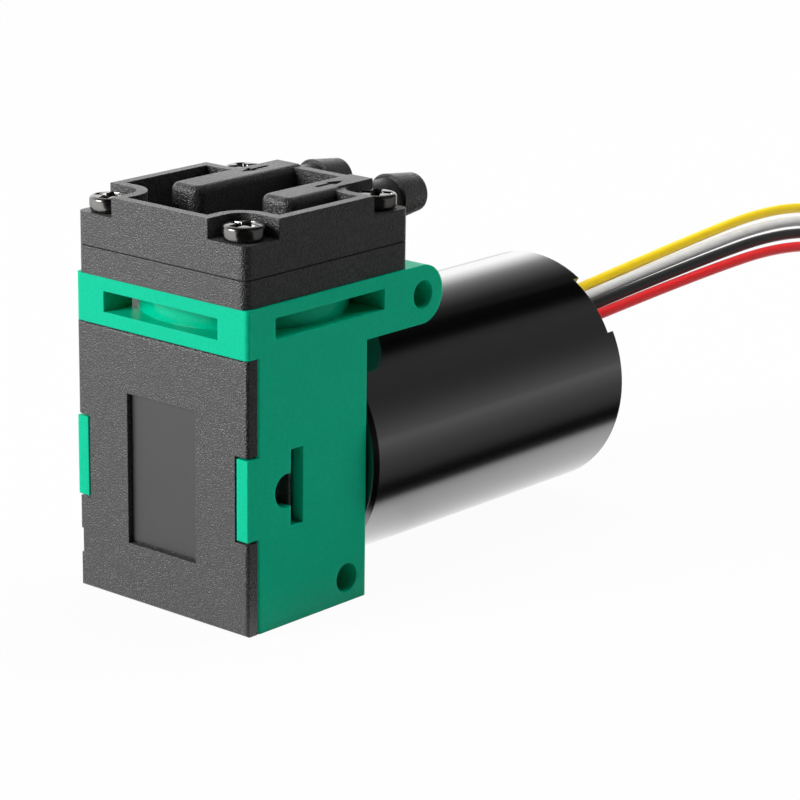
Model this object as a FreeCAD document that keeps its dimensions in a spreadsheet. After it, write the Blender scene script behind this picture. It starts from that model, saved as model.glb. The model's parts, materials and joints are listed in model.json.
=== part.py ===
import FreeCAD
import Part
import Sketcher
import math
import os
from FreeCAD import Placement, Rotation, Vector

# Diaphragm vacuum pump with a brushless motor and flying leads. Millimetres, +Z up.
# Origin: on the flat underside, straight below the centre of the pump head.
# +Y runs along the motor, the snap-on front cover is at -Y.

doc = FreeCAD.newDocument("diaphragm_vacuum_pump")

# Driving dimensions: name, value, what it is.
SIZES = (
    ("body_width", 25.5, "green housing, across"),
    ("body_depth", 25.8, "pump head, front to back"),
    ("band_low", 30.45, "underside of the band over the front cover"),
    ("band_top", 35.8, "top face of the green housing"),
    ("body_back", 6.1, "rear face of the crankcase"),
    ("body_round", 0.5, "upright corners of the housing"),
    ("joint_gap", 0.05, "gap between parts that are put together"),
    ("sink", 0.5, "how far an added form reaches into the wall that carries it"),
    ("motor_height", 14.85, "motor axis above the underside"),
    ("motor_radius", 14.0, "motor can, outside"),
    ("motor_length", 44.2, "motor can, front face to rear rim"),
    ("motor_gap", 0.1, "between the crankcase and the motor"),
    ("can_wall", 0.8, "motor can"),
    ("can_front", 1.0, "front face of the can"),
    ("can_round", 0.5, "sloping front edge of the can"),
    ("rim_notch_depth", 1.0, "rear rim cut away for the leads"),
    ("notch_middle", 43.7, "degrees round the rim, from +X towards +Z"),
    ("notch_half", 16.0, "half of the notch, in degrees"),
    ("pilot_radius", 5.0, "motor boss that centres it in the crankcase"),
    ("pilot_length", 1.9, "motor boss"),
    ("crank_throw", 1.5, "half of the diaphragm's stroke"),
    ("chamber_radius", 9.4, "crankcase bore"),
    ("back_wall", 2.0, "crankcase rear wall"),
    ("bore_radius", 9.3, "opening under the diaphragm"),
    ("bore_floor", 31.15, "height where the round opening starts"),
    ("ring_radius", 11.45, "outside of the wall round the opening"),
    ("seat_radius", 10.9, "counterbore for the diaphragm's rim"),
    ("rim_thick", 0.65, "diaphragm rim"),
    ("bead_radius", 10.3, "middle of the diaphragm's bead"),
    ("bead_width", 0.5, "diaphragm bead"),
    ("bead_depth", 0.35, "diaphragm bead below the rim"),
    ("window_low", 32.0, "slots round the band, lower edge"),
    ("window_high", 34.3, "slots round the band, upper edge"),
    ("front_window", 8.5, "half of the front slot"),
    ("side_window", 8.65, "half of each side slot"),
    ("ear_radius", 3.32, "mounting ears"),
    ("ear_centre", 15.0, "ear hole, distance behind the head's middle"),
    ("ear_hole", 1.58, "ear hole radius"),
    ("ear_thick", 6.0, "each ear, across"),
    ("low_hole", 1.65, "cross hole radius"),
    ("low_hole_back", 2.75, "cross hole behind the head's middle"),
    ("low_hole_height", 2.8, "cross hole above the underside"),
    ("cover_thick", 1.55, "front cover"),
    ("cover_gap", 0.05, "front cover to the band above, and to the sides"),
    ("cover_round", 0.4, "front cover's edges"),
    ("recess_half", 5.1, "plain panel in the front cover, half its width"),
    ("recess_low", 6.6, "plain panel, lower edge"),
    ("recess_high", 23.55, "plain panel, upper edge"),
    ("recess_depth", 0.8, "plain panel"),
    ("label_thick", 0.2, "blank label"),
    ("label_gap", 0.15, "round the blank label"),
    ("pry_low", 3.8, "pry notch, lower edge"),
    ("pry_high", 6.7, "pry notch, upper edge"),
    ("pry_depth", 0.5, "pry notch"),
    ("wall_side", 1.55, "crankcase side wall at the snap arms"),
    ("tab_low", 10.65, "side tabs beside the cover, lower edge"),
    ("tab_high", 19.65, "side tabs beside the cover, upper edge"),
    ("tab_gap", 0.27, "round the side tabs"),
    ("slot_front", 6.25, "side slot, front edge, ahead of the head's middle"),
    ("slot_back", 4.3, "side slot, rear edge"),
    ("slot_low", 10.95, "side slot, lower end"),
    ("slot_high", 19.5, "side slot, upper end"),
    ("release_front", 6.8, "release hole, ahead of the head's middle"),
    ("release_height", 15.05, "release hole"),
    ("release_radius", 1.9, "release hole"),
    ("arm_thick", 1.15, "snap arms of the front cover"),
    ("arm_width", 8.2, "snap arms of the front cover"),
    ("arm_gap", 0.2, "snap arm to the side wall"),
    ("arm_room", 3.0, "room for the snap arms inside the side walls"),
    ("hook_reach", 1.2, "snap hook"),
    ("spigot_thick", 0.9, "ring behind the front cover"),
    ("spigot_length", 1.2, "ring behind the front cover"),
    ("plate_width", 25.0, "black plates, across"),
    ("plate_thick", 3.05, "intermediate plate"),
    ("plate_round", 1.0, "upright corners of the black plates"),
    ("dome_depth", 0.8, "pumping chamber in the intermediate plate"),
    ("dome_top", 6.0, "radius of the chamber's flat top"),
    ("valve_x", 5.55, "valves and ports, either side of the middle"),
    ("inlet_y", 0.2, "inlet valve"),
    ("outlet_y", 2.7, "outlet valve"),
    ("valve_pocket", 3.0, "valve pocket radius"),
    ("valve_depth", 1.2, "valve pocket depth"),
    ("valve_radius", 2.6, "elastomer valve discs"),
    ("valve_thick", 0.65, "elastomer valve discs"),
    ("valve_lift", 0.4, "travel of the valve discs"),
    ("seat_hole", 0.45, "drillings through the valve seats, radius"),
    ("outlet_ring", 1.4, "circle of the drillings under the outlet disc"),
    ("inlet_ring", 0.95, "circle of the drillings above the inlet disc"),
    ("bypass_hole", 0.4, "drillings beside the inlet disc, radius"),
    ("bypass_ring", 2.5, "circle of the drillings beside the inlet disc"),
    ("seat_web", 0.7, "head cover above the valve discs"),
    ("relief_half", 0.6, "relief above the outlet disc, half its width"),
    ("well_clear", 0.3, "well above the inlet disc, wider than the port's bore"),
    ("seal_inner", 3.4, "valve gaskets"),
    ("seal_outer", 4.3, "valve gaskets"),
    ("seal_depth", 0.5, "valve gaskets"),
    ("land_height", 3.7, "screw lands above the intermediate plate"),
    ("floor_height", 1.55, "pocket floor above the intermediate plate"),
    ("rim_height", 5.9, "rim above the intermediate plate"),
    ("rim_wall", 1.2, "walls of the head cover"),
    ("notch_x", 7.1, "corner notches start this far from the middle"),
    ("notch_front", 7.8, "front corner notches start this far ahead of the middle"),
    ("notch_back", 7.05, "rear corner notches start this far behind the middle"),
    ("notch_round", 2.3, "inner corner of the corner notches"),
    ("joint_line", 0.12, "shadow line under the head cover, height"),
    ("joint_line_depth", 0.4, "shadow line under the head cover, depth"),
    ("channel_half", 2.3, "flow channels, half their width"),
    ("channel_ahead", 4.0, "flow channels reach this far ahead of their valves"),
    ("channel_proud", 0.2, "flow channels above the rim"),
    ("channel_round", 1.3, "upright front corners of the flow channels"),
    ("channel_edge", 0.85, "top edges of the flow channels"),
    ("port_height", 3.0, "port axis above the intermediate plate"),
    ("port_bore", 1.3, "hose ports, bore radius"),
    ("port_neck", 2.25, "hose ports, neck radius"),
    ("barb_radius", 2.69, "hose ports, shoulder radius"),
    ("tip_radius", 2.2, "hose ports, tip radius"),
    ("neck_length", 4.3, "hose ports, neck"),
    ("barb_length", 4.6, "hose ports, barb"),
    ("port_lip", 0.35, "sloping edge at the ports' tips"),
    ("arrow_length", 4.4, "flow arrows"),
    ("arrow_half", 0.8, "flow arrows, half of the head"),
    ("arrow_shaft", 0.28, "flow arrows, half of the shaft"),
    ("arrow_middle", 7.6, "flow arrows, behind the head's middle"),
    ("arrow_depth", 0.25, "flow arrows"),
    ("screw_x", 9.85, "head screws, from the middle"),
    ("screw_y", 10.4, "head screws, from the middle"),
    ("screw_radius", 1.0, "head screw thread"),
    ("screw_bite", 5.25, "head screws below the housing's top face"),
    ("screw_clear", 1.15, "holes that the head screws pass through"),
    ("screw_head", 2.25, "head screw, head radius"),
    ("screw_head_height", 1.7, "head screw, head"),
    ("screw_head_round", 0.8, "head screw, sloping edge of the head"),
    ("cross_half", 1.35, "cross recess, half its length"),
    ("cross_web", 0.32, "cross recess, half its width"),
    ("cross_depth", 0.9, "cross recess"),
    ("fix_x", 7.0, "motor screws, either side of the shaft"),
    ("fix_radius", 1.0, "motor screw thread"),
    ("fix_length", 4.0, "motor screws under the head"),
    ("fix_head", 1.8, "motor screw head radius"),
    ("fix_head_height", 1.2, "motor screw head"),
    ("fix_head_round", 0.4, "motor screw, sloping edge of the head"),
    ("shaft_radius", 1.5, "motor shaft"),
    ("shaft_front", 7.6, "motor shaft, ahead of the head's middle"),
    ("shaft_chamfer", 0.2, "motor shaft, front edge"),
    ("shaft_short", 0.2, "motor shaft ends this far inside the rear bearing's lip"),
    ("shaft_clear", 0.5, "holes round the motor shaft"),
    ("bearing_radius", 4.0, "motor bearings"),
    ("bearing_width", 4.0, "motor bearings"),
    ("bearing_wall", 0.8, "motor bearing rings"),
    ("collar_wall", 1.0, "metal round the motor bearings"),
    ("seat_lip", 0.5, "metal that a motor bearing rests against"),
    ("crank_journal", 3.5, "eccentric journal"),
    ("crank_bearing", 5.5, "crank bearing"),
    ("crank_bearing_width", 3.0, "crank bearing"),
    ("crank_ring", 0.6, "crank bearing rings"),
    ("shield_thick", 0.25, "bearing shields"),
    ("shield_gap", 0.06, "bearing shield to the inner ring"),
    ("rod_eye", 7.2, "big end of the connecting rod"),
    ("rod_width", 4.0, "connecting rod, along the shaft"),
    ("rod_web", 1.6, "thin middle of the connecting rod"),
    ("rod_foot", 3.3, "connecting rod shank at the eye, half its width"),
    ("rod_neck", 2.5, "connecting rod shank at the top, half its width"),
    ("rod_rib_foot", 0.9, "edge rib of the shank at the eye"),
    ("rod_rib_neck", 0.7, "edge rib of the shank at the top"),
    ("rod_web_gap", 0.45, "thin middle of the rod to the eye and to the boss"),
    ("rod_boss_floor", 1.0, "rod boss below the stud"),
    ("rod_flange", 3.7, "top flange of the connecting rod"),
    ("rod_flange_thick", 1.2, "top flange of the connecting rod"),
    ("insert_radius", 4.2, "disc moulded into the diaphragm"),
    ("insert_thick", 0.95, "disc moulded into the diaphragm"),
    ("insert_below", 0.2, "top of that disc below the housing's top face"),
    ("stud_radius", 1.25, "stud of the diaphragm insert"),
    ("stud_length", 3.0, "stud of the diaphragm insert"),
    ("membrane_thick", 0.6, "diaphragm"),
    ("hub_wall", 0.9, "rubber round the insert"),
    ("roll_drop", 0.75, "depth of the diaphragm's rolled part"),
    ("rim_inward", 0.1, "flat rim of the diaphragm reaches this far into the opening"),
    ("weight_radius", 8.7, "counterweight"),
    ("weight_thick", 4.6, "counterweight"),
    ("weight_gap", 0.6, "counterweight to the connecting rod"),
    ("weight_shoulder", 1.5, "counterweight's shoulders below the shaft's middle"),
    ("hub_radius", 4.4, "eccentric hub"),
    ("hub_wall_web", 0.3, "web that joins hub and counterweight"),
    ("hub_step", 0.8, "rear part of the hub, smaller than the hub"),
    ("journal_flange", 0.8, "flange behind the crank bearing"),
    ("grub_radius", 1.0, "set screw"),
    ("grub_length", 4.0, "set screw"),
    ("grub_socket", 0.55, "hexagon socket of the set screw, to a corner"),
    ("grub_socket_depth", 1.2, "hexagon socket of the set screw"),
    ("stator_inset", 7.8, "stator stack behind the can's front face"),
    ("stator_tail", 16.4, "stator stack to the motor's rear rim"),
    ("stator_bore", 7.3, "stator stack, inside"),
    ("stator_back", 2.0, "stator yoke"),
    ("tooth_half", 1.5, "stator teeth, half their width"),
    ("slot_mouth", 0.8, "stator slots, half their mouth"),
    ("tooth_tip", 0.7, "stator tooth tips, at their edge"),
    ("tooth_slope", 0.6, "stator tooth tips, slope towards the tooth"),
    ("slot_corner", 0.3, "outer corners of the stator slots"),
    ("slot_liner", 0.1, "between the coils and the stack"),
    ("coil_thick", 1.7, "stator coils beside the teeth"),
    ("coil_low", 8.7, "stator coils, inner radius"),
    ("coil_high", 10.5, "stator coils, outer radius"),
    ("coil_end", 1.4, "stator coils past the stack"),
    ("air_gap", 0.4, "rotor magnet to the stator"),
    ("rotor_past", 0.5, "rotor past the stator stack, at each end"),
    ("core_radius", 3.2, "rotor core"),
    ("insulator_thick", 0.8, "end insulator"),
    ("insulator_gap", 0.2, "end insulator to the can"),
    ("post_radius", 0.8, "insulator posts"),
    ("post_inset", 1.0, "insulator posts inside the insulator's edge"),
    ("board_inset", 8.8, "driver board's front to the motor's rear rim"),
    ("board_thick", 1.2, "driver board"),
    ("board_radius", 12.9, "driver board"),
    ("board_hole", 3.0, "hole in the driver board, radius"),
    ("cap_recess", 1.5, "rear cap below the rim"),
    ("cap_thick", 2.0, "rear cap"),
    ("cap_gap", 0.04, "rear cap in the can"),
    ("grommet_proud", 0.3, "grommet past the rear cap"),
    ("grommet_low", 11.3, "grommet, inner radius"),
    ("grommet_middle", 48.2, "grommet, degrees round the rim"),
    ("grommet_half", 14.5, "grommet's opening, half its angle"),
    ("grommet_slack", 0.3, "degrees between the grommet and its opening, each side"),
    ("lead_diameter", 1.3, "leads"),
    ("lead_orbit", 12.3, "leads, distance from the motor axis"),
    ("lead_step", 6.2, "degrees between the leads"),
    ("lead_clear", 0.02, "leads above the surface that they lie on"),
    ("tip_length", 4.0, "stripped lead ends"),
    ("tip_diameter", 0.7, "stripped lead ends"),
)

sheet = doc.addObject("Spreadsheet::Sheet", "sizes")
for row, (alias, number, note) in enumerate(SIZES, 1):
    sheet.set(f"A{row}", alias)
    sheet.set(f"B{row}", str(number))
    sheet.setAlias(f"B{row}", alias)
    sheet.set(f"C{row}", note)
doc.recompute()


class Size:
    """A length with its value in millimetres and the sheet formula that gives it."""

    def __init__(self, value, text):
        self.value = float(value)
        self.text = text

    def __add__(self, other):
        other = as_size(other)
        return Size(self.value + other.value, f"({self.text} + {other.text})")

    def __sub__(self, other):
        other = as_size(other)
        return Size(self.value - other.value, f"({self.text} - {other.text})")

    def __rsub__(self, other):
        return as_size(other) - self

    def __mul__(self, other):
        other = as_size(other)
        return Size(self.value * other.value, f"({self.text} * {other.text})")

    def __truediv__(self, other):
        other = as_size(other)
        return Size(self.value / other.value, f"({self.text} / {other.text})")

    def __neg__(self):
        return Size(-self.value, f"(0 - {self.text})")

    __radd__ = __add__
    __rmul__ = __mul__


def as_size(number):
    return number if isinstance(number, Size) else Size(number, f"({float(number)!r})")


def cosine(angle):
    return Size(math.cos(math.radians(angle.value)), f"cos({angle.text} * 1 deg)")


def sine(angle):
    return Size(math.sin(math.radians(angle.value)), f"sin({angle.text} * 1 deg)")


class Dimensions:
    """The sheet's cells, each read by its name."""

    def __getattr__(self, name):
        return Size(sheet.get(name), f"sizes.{name}")


d = Dimensions()
nodes = {}

# Sketch planes: which world axes a sketch's own axes follow, and which way its normal points.
PLANES = {"z": ("XY_Plane", 1), "y": ("XZ_Plane", -1), "x": ("YZ_Plane", 1)}


def new_body(name, node=True):
    body = doc.addObject("PartDesign::Body", name)
    body.Label = name
    if node:
        nodes[name] = body
    return body


def new_sketch(body, axis, level, up=0):
    """A sketch on a plane square to the axis, at that level along it, its origin raised by up."""
    role, sign = PLANES[axis]
    sketch = body.newObject("Sketcher::SketchObject", f"{body.Name}_sketch")
    plane = next(f for f in body.Origin.OriginFeatures if f.Role == role)
    sketch.AttachmentSupport = (plane, [""])
    sketch.MapMode = "FlatFace"
    sketch.setExpression("AttachmentOffset.Base.z", (as_size(level) * sign).text)
    sketch.setExpression("AttachmentOffset.Base.y", as_size(up).text)
    return sketch


def tie(sketch, kind, geometry, point, size):
    """Ties a point to the sketch's origin, sideways or upwards."""
    size = as_size(size)
    number = sketch.addConstraint(Sketcher.Constraint(kind, -1, 1, geometry, point, size.value))
    sketch.setExpression(f"Constraints[{number}]", size.text)


def outline(sketch, points):
    """A closed outline of straight lines with every corner tied to a size."""
    first = sketch.GeometryCount
    places = [Vector(as_size(u).value, as_size(v).value, 0) for u, v in points]
    count = len(points)
    for i in range(count):
        sketch.addGeometry(Part.LineSegment(places[i], places[(i + 1) % count]), False)
    for i in range(count):
        following = first + (i + 1) % count
        sketch.addConstraint(Sketcher.Constraint("Coincident", first + i, 2, following, 1))
    for i, (u, v) in enumerate(points):
        tie(sketch, "DistanceX", first + i, 1, u)
        tie(sketch, "DistanceY", first + i, 1, v)


def rectangle(u0, u1, v0, v1):
    return lambda sketch: outline(sketch, ((u0, v0), (u1, v0), (u1, v1), (u0, v1)))


def polygon(points):
    return lambda sketch: outline(sketch, points)


def circle(u, v, radius):
    def draw(sketch):
        middle = Vector(as_size(u).value, as_size(v).value, 0)
        ring = Part.Circle(middle, Vector(0, 0, 1), as_size(radius).value)
        number = sketch.addGeometry(ring, False)
        tie(sketch, "DistanceX", number, 3, u)
        tie(sketch, "DistanceY", number, 3, v)
        size = sketch.addConstraint(Sketcher.Constraint("Radius", number, as_size(radius).value))
        sketch.setExpression(f"Constraints[{size}]", as_size(radius).text)

    return draw


def extrude(body, kind, axis, start, end, *shapes):
    """A pad or pocket from start to end along the axis, towards plus."""
    sketch = new_sketch(body, axis, start)
    for shape in shapes:
        shape(sketch)
    feature = body.newObject(f"PartDesign::{kind}", f"{body.Name}_{kind.lower()}")
    feature.Profile = sketch
    feature.setExpression("Length", (as_size(end) - as_size(start)).text)
    towards_plus = PLANES[axis][1] == (1 if kind == "Pad" else -1)
    feature.Reversed = not towards_plus
    return feature


def pad(body, axis, start, end, *shapes):
    return extrude(body, "Pad", axis, start, end, *shapes)


def pocket(body, axis, start, end, *shapes):
    """A pocket, checked for taking metal away."""
    doc.recompute()
    before = body.Shape.Volume
    feature = extrude(body, "Pocket", axis, start, end, *shapes)
    doc.recompute()
    if not body.Shape.Volume < before - 1e-4:
        raise RuntimeError(f"{feature.Name} cuts nothing")
    return feature


def turn(body, axis, centre, points, kind="Revolution"):
    """Turns an outline of (along the axis, radius) corners round an axis through the centre."""
    across, middle = centre
    plane = "x" if axis == "y" else "y"
    sketch = new_sketch(body, plane, across)
    line = (Vector(0, as_size(middle).value, 0), Vector(10, as_size(middle).value, 0))
    if axis == "z":
        line = (Vector(as_size(middle).value, 0, 0), Vector(as_size(middle).value, 10, 0))
    number = sketch.addGeometry(Part.LineSegment(*line), True)
    for end in (1, 2):
        tie(sketch, "DistanceX", number, end, middle if axis == "z" else (0, 10)[end - 1])
        tie(sketch, "DistanceY", number, end, (0, 10)[end - 1] if axis == "z" else middle)
    if axis == "y":
        corners = [(along, middle + radius) for along, radius in points]
    else:
        corners = [(middle + radius, along) for along, radius in points]
    outline(sketch, corners)
    feature = body.newObject(f"PartDesign::{kind}", f"{body.Name}_{kind.lower()}")
    feature.Profile = sketch
    feature.ReferenceAxis = (sketch, ["Axis0"])
    feature.Angle = 360
    return feature


def turned(name, axis, centre, points, node=True):
    body = new_body(name, node)
    turn(body, axis, centre, points)
    return body


def tube(start, end, inner, outer):
    return ((start, inner), (start, outer), (end, outer), (end, inner))


def finish_edges(body, kind, size, pick):
    """Rounds or chamfers the edges that the test picks."""
    doc.recompute()
    tip = body.Tip
    edges = [f"Edge{i}" for i, edge in enumerate(tip.Shape.Edges, 1) if pick(edge)]
    if not edges:
        raise RuntimeError(f"{body.Name} has no such edge")
    feature = body.newObject(f"PartDesign::{kind}", f"{body.Name}_{kind.lower()}")
    feature.Base = (tip, edges)
    feature.setExpression("Radius" if kind == "Fillet" else "Size", as_size(size).text)
    return feature


def near(a, b):
    return abs(a - as_size(b).value) < 1e-3


def upright_at(*corners):
    """Picks upright edges that stand at one of the corners."""

    def pick(edge):
        low, high = edge.Vertexes[0].Point, edge.Vertexes[-1].Point
        if abs(low.x - high.x) > 1e-6 or abs(low.y - high.y) > 1e-6:
            return False
        return any(near(low.x, x) and near(low.y, y) for x, y in corners)

    return pick


def both(x, *ys):
    return [(side * x, y) for side in (-1, 1) for y in ys]


# Levels and places that several pieces share.
half_body = d.body_width / 2
half_depth = d.body_depth / 2
half_plate = d.plate_width / 2
case_front = d.cover_thick - half_depth
chamber_back = d.body_back - d.back_wall
ear_middle = d.band_top - d.ear_radius
ear_low = d.band_top - 2 * d.ear_radius
plate_top = d.band_top + d.plate_thick
land = plate_top + d.land_height
pocket_floor = plate_top + d.floor_height
rim = plate_top + d.rim_height
channel_top = rim + d.channel_proud
port_level = plate_top + d.port_height
axle = d.motor_height
crank = d.motor_height + d.crank_throw
motor_front = d.body_back + d.motor_gap
motor_back = motor_front + d.motor_length
stator_start = motor_front + d.stator_inset
stator_end = motor_back - d.stator_tail
board_front = motor_back - d.board_inset
cap_back = motor_back - d.cap_recess
screw_end = d.band_top - d.screw_bite
wall_inside = half_body - d.wall_side
arm_outside = wall_inside - d.arm_gap
arm_middle = (d.slot_low + d.slot_high) / 2
insert_top = d.band_top - d.insert_below
insert_low = insert_top - d.insert_thick
screw_places = [(sx * d.screw_x, sy * d.screw_y) for sx in (-1, 1) for sy in (-1, 1)]
valves = {"inlet": (-d.valve_x, d.inlet_y), "outlet": (d.valve_x, d.outlet_y)}


def span(side, inner, outer):
    """Two places on one side of the middle, the lower one first."""
    ends = (side * as_size(inner), side * as_size(outer))
    return ends if side > 0 else ends[::-1]


def ring_of(middle, radius, count, first=0.0):
    """Places evenly round a circle."""
    across, up = middle
    places = []
    for i in range(count):
        angle = math.radians(first + 360 * i / count)
        places.append((across + radius * math.cos(angle), up + radius * math.sin(angle)))
    return places


def make_housing():
    """Green crankcase, band, flange and ears, moulded in one piece."""
    body = new_body("compressor_housing")
    across = (-half_body, half_body)
    pad(body, "z", 0, d.band_low, rectangle(*across, case_front, d.body_back))
    pad(body, "z", d.band_low, d.band_top, rectangle(*across, -half_depth, half_depth))
    pad(body, "z", ear_low, d.band_low, rectangle(*across, 0, half_depth))
    finish_edges(
        body, "Fillet", d.body_round,
        upright_at(*both(half_body, case_front, d.body_back, half_depth, -half_depth)),
    )
    for start in (half_body - d.ear_thick, -half_body):
        end = start + d.ear_thick
        lug = rectangle(half_depth - 2 * d.body_round, d.ear_centre, ear_low, d.band_top)
        pad(body, "x", start, end, lug)
        pad(body, "x", start, end, circle(d.ear_centre, ear_middle, d.ear_radius))
    tabs = [
        rectangle(*span(side, wall_inside, half_body), d.tab_low, d.tab_high)
        for side in (-1, 1)
    ]
    pad(body, "y", -half_depth, case_front + d.sink, *tabs)
    pocket(body, "y", case_front, chamber_back, circle(0, axle, d.chamber_radius))
    opening = rectangle(-d.bore_radius, d.bore_radius, -d.bore_radius, chamber_back)
    pocket(body, "z", axle, d.bore_floor, opening)
    pocket(body, "z", d.bore_floor, d.band_top, circle(0, 0, d.bore_radius))
    side_slot = rectangle(-d.side_window, d.side_window, d.window_low, d.window_high)
    pocket(body, "x", -half_body, half_body, side_slot)
    front_slot = rectangle(-d.front_window, d.front_window, d.window_low, d.window_high)
    pocket(body, "y", -half_depth, 0, front_slot)
    wall = (circle(0, 0, d.ring_radius), circle(0, 0, d.bore_radius))
    pad(body, "z", d.bore_floor, d.band_top, *wall)
    arms = [
        rectangle(*span(side, wall_inside - d.arm_room, wall_inside),
                  d.slot_low - d.arm_gap, d.slot_high + d.arm_gap)
        for side in (-1, 1)
    ]
    pocket(body, "y", case_front, -d.slot_back + 2 * d.arm_gap, *arms)
    slot = rectangle(-d.slot_front, -d.slot_back, d.slot_low, d.slot_high)
    pocket(body, "x", -half_body, half_body, slot)
    release = circle(-d.release_front, d.release_height, d.release_radius)
    pocket(body, "x", -half_body, half_body, release)
    cross_hole = circle(d.low_hole_back, d.low_hole_height, d.low_hole)
    pocket(body, "x", -half_body, half_body, cross_hole)
    ear_bore = circle(d.ear_centre, ear_middle, d.ear_hole)
    pocket(body, "x", -half_body, half_body, ear_bore)
    pilot = circle(0, axle, d.pilot_radius + d.joint_gap)
    fixings = [circle(side * d.fix_x, axle, d.fix_radius + d.joint_gap) for side in (-1, 1)]
    pocket(body, "y", chamber_back, d.body_back, pilot, *fixings)
    threads = [circle(x, y, d.screw_radius) for x, y in screw_places]
    pocket(body, "z", screw_end - d.joint_gap, d.band_top, *threads)
    seat_level = d.band_top - d.rim_thick
    pocket(body, "z", seat_level, d.band_top, circle(0, 0, d.seat_radius))
    half = d.bead_width / 2 + d.joint_gap
    groove = (circle(0, 0, d.bead_radius + half), circle(0, 0, d.bead_radius - half))
    pocket(body, "z", seat_level - d.bead_depth - d.joint_gap, seat_level, *groove)


def make_front_cover():
    """Black cover that closes the crankcase and snaps in at both sides."""
    body = new_body("front_cover")
    edge = half_body - d.cover_gap
    top = d.band_low - d.cover_gap
    pad(body, "y", -half_depth, case_front, rectangle(-edge, edge, 0, top))
    finish_edges(
        body, "Fillet", d.cover_round,
        lambda e: all(near(v.Point.y, -half_depth) for v in e.Vertexes),
    )
    notches = [
        rectangle(*span(side, wall_inside - d.tab_gap, half_body),
                  d.tab_low - d.tab_gap, d.tab_high + d.tab_gap)
        for side in (-1, 1)
    ]
    pry = rectangle(-half_body, d.pry_depth - edge, d.pry_low, d.pry_high)
    pocket(body, "y", -half_depth, case_front, *notches, pry)
    panel = rectangle(-d.recess_half, d.recess_half, d.recess_low, d.recess_high)
    pocket(body, "y", -half_depth, d.recess_depth - half_depth, panel)
    outer = d.chamber_radius - d.arm_gap
    spigot = (circle(0, axle, outer), circle(0, axle, outer - d.spigot_thick))
    pad(body, "y", case_front, case_front + d.spigot_length, *spigot)
    low = arm_middle - d.arm_width / 2
    hook_front = d.arm_gap - d.slot_front
    hook_back = -d.slot_back
    for side in (-1, 1):
        arm = (
            (side * (arm_outside - d.arm_thick), case_front - d.cover_thick / 2),
            (side * arm_outside, case_front - d.cover_thick / 2),
            (side * arm_outside, hook_front),
            (side * (arm_outside + d.hook_reach), hook_front),
            (side * (arm_outside + d.hook_reach), hook_front + d.arm_gap),
            (side * arm_outside, hook_back),
            (side * (arm_outside - d.arm_thick), hook_back),
        )
        pad(body, "z", low, low + d.arm_width, polygon(arm))


def make_label():
    """Plain blank panel that lies in the front cover's recess."""
    label = doc.addObject("Part::Box", "blank_label")
    half = d.recess_half - d.label_gap
    low = d.recess_low + d.label_gap
    label.setExpression("Length", (2 * half).text)
    label.setExpression("Width", d.label_thick.text)
    label.setExpression("Height", (d.recess_high - d.label_gap - low).text)
    label.setExpression("Placement.Base.x", (-half).text)
    front = d.recess_depth - d.label_thick - half_depth
    label.setExpression("Placement.Base.y", front.text)
    label.setExpression("Placement.Base.z", low.text)
    label.Label = "blank_label"
    nodes["blank_label"] = label


def valve_drillings(kind):
    """Small holes under a valve: a ring inside the outlet disc, a ring round the inlet disc."""
    middle = valves[kind]
    if kind == "outlet":
        return [circle(x, y, d.seat_hole) for x, y in ring_of(middle, d.outlet_ring, 3, 30)]
    return [circle(x, y, d.bypass_hole) for x, y in ring_of(middle, d.bypass_ring, 4, 45)]


def make_intermediate_plate():
    """Black plate with the pumping chamber below and the valve pockets above."""
    body = new_body("intermediate_plate")
    pad(body, "z", d.band_top, plate_top,
        rectangle(-half_plate, half_plate, -half_depth, half_depth))
    finish_edges(body, "Fillet", d.plate_round,
                 upright_at(*both(half_plate, -half_depth, half_depth)))
    dome = (
        (d.band_top, 0),
        (d.band_top, d.bore_radius),
        (d.band_top + d.dome_depth, d.dome_top),
        (d.band_top + d.dome_depth, 0),
    )
    turn(body, "z", (0, 0), dome, "Groove")
    for kind, (x, y) in valves.items():
        pocket(body, "z", plate_top - d.valve_depth, plate_top, circle(x, y, d.valve_pocket))
        ring = (circle(x, y, d.seal_outer), circle(x, y, d.seal_inner))
        pocket(body, "z", plate_top - d.seal_depth, plate_top, *ring)
        pocket(body, "z", d.band_top, plate_top - d.valve_depth, *valve_drillings(kind))
    holes = [circle(x, y, d.screw_clear) for x, y in screw_places]
    pocket(body, "z", d.band_top, plate_top, *holes)


def make_valve_gaskets():
    """Two flat rubber rings that seal the valve pockets against the head cover."""
    rings = []
    for kind, (x, y) in valves.items():
        section = tube(plate_top - d.seal_depth, plate_top,
                       d.seal_inner + d.joint_gap, d.seal_outer - d.joint_gap)
        rings.append(turned(f"{kind}_gasket_ring", "z", (y, x), section, node=False))
    group("valve_gaskets", rings)


def group(name, members):
    """Several like solids in one node."""
    compound = doc.addObject("Part::Compound", name)
    compound.Links = members
    compound.Label = name
    nodes[name] = compound


def arrow(x, direction):
    """Flow arrow seen from above."""
    tail = d.arrow_middle - direction * d.arrow_length / 2
    tip = d.arrow_middle + direction * d.arrow_length / 2
    neck = tip - direction * 1.25 * 2 * d.arrow_half
    return polygon((
        (x - d.arrow_shaft, tail),
        (x + d.arrow_shaft, tail),
        (x + d.arrow_shaft, neck),
        (x + d.arrow_half, neck),
        (x, tip),
        (x - d.arrow_half, neck),
        (x - d.arrow_shaft, neck),
    ))


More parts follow.
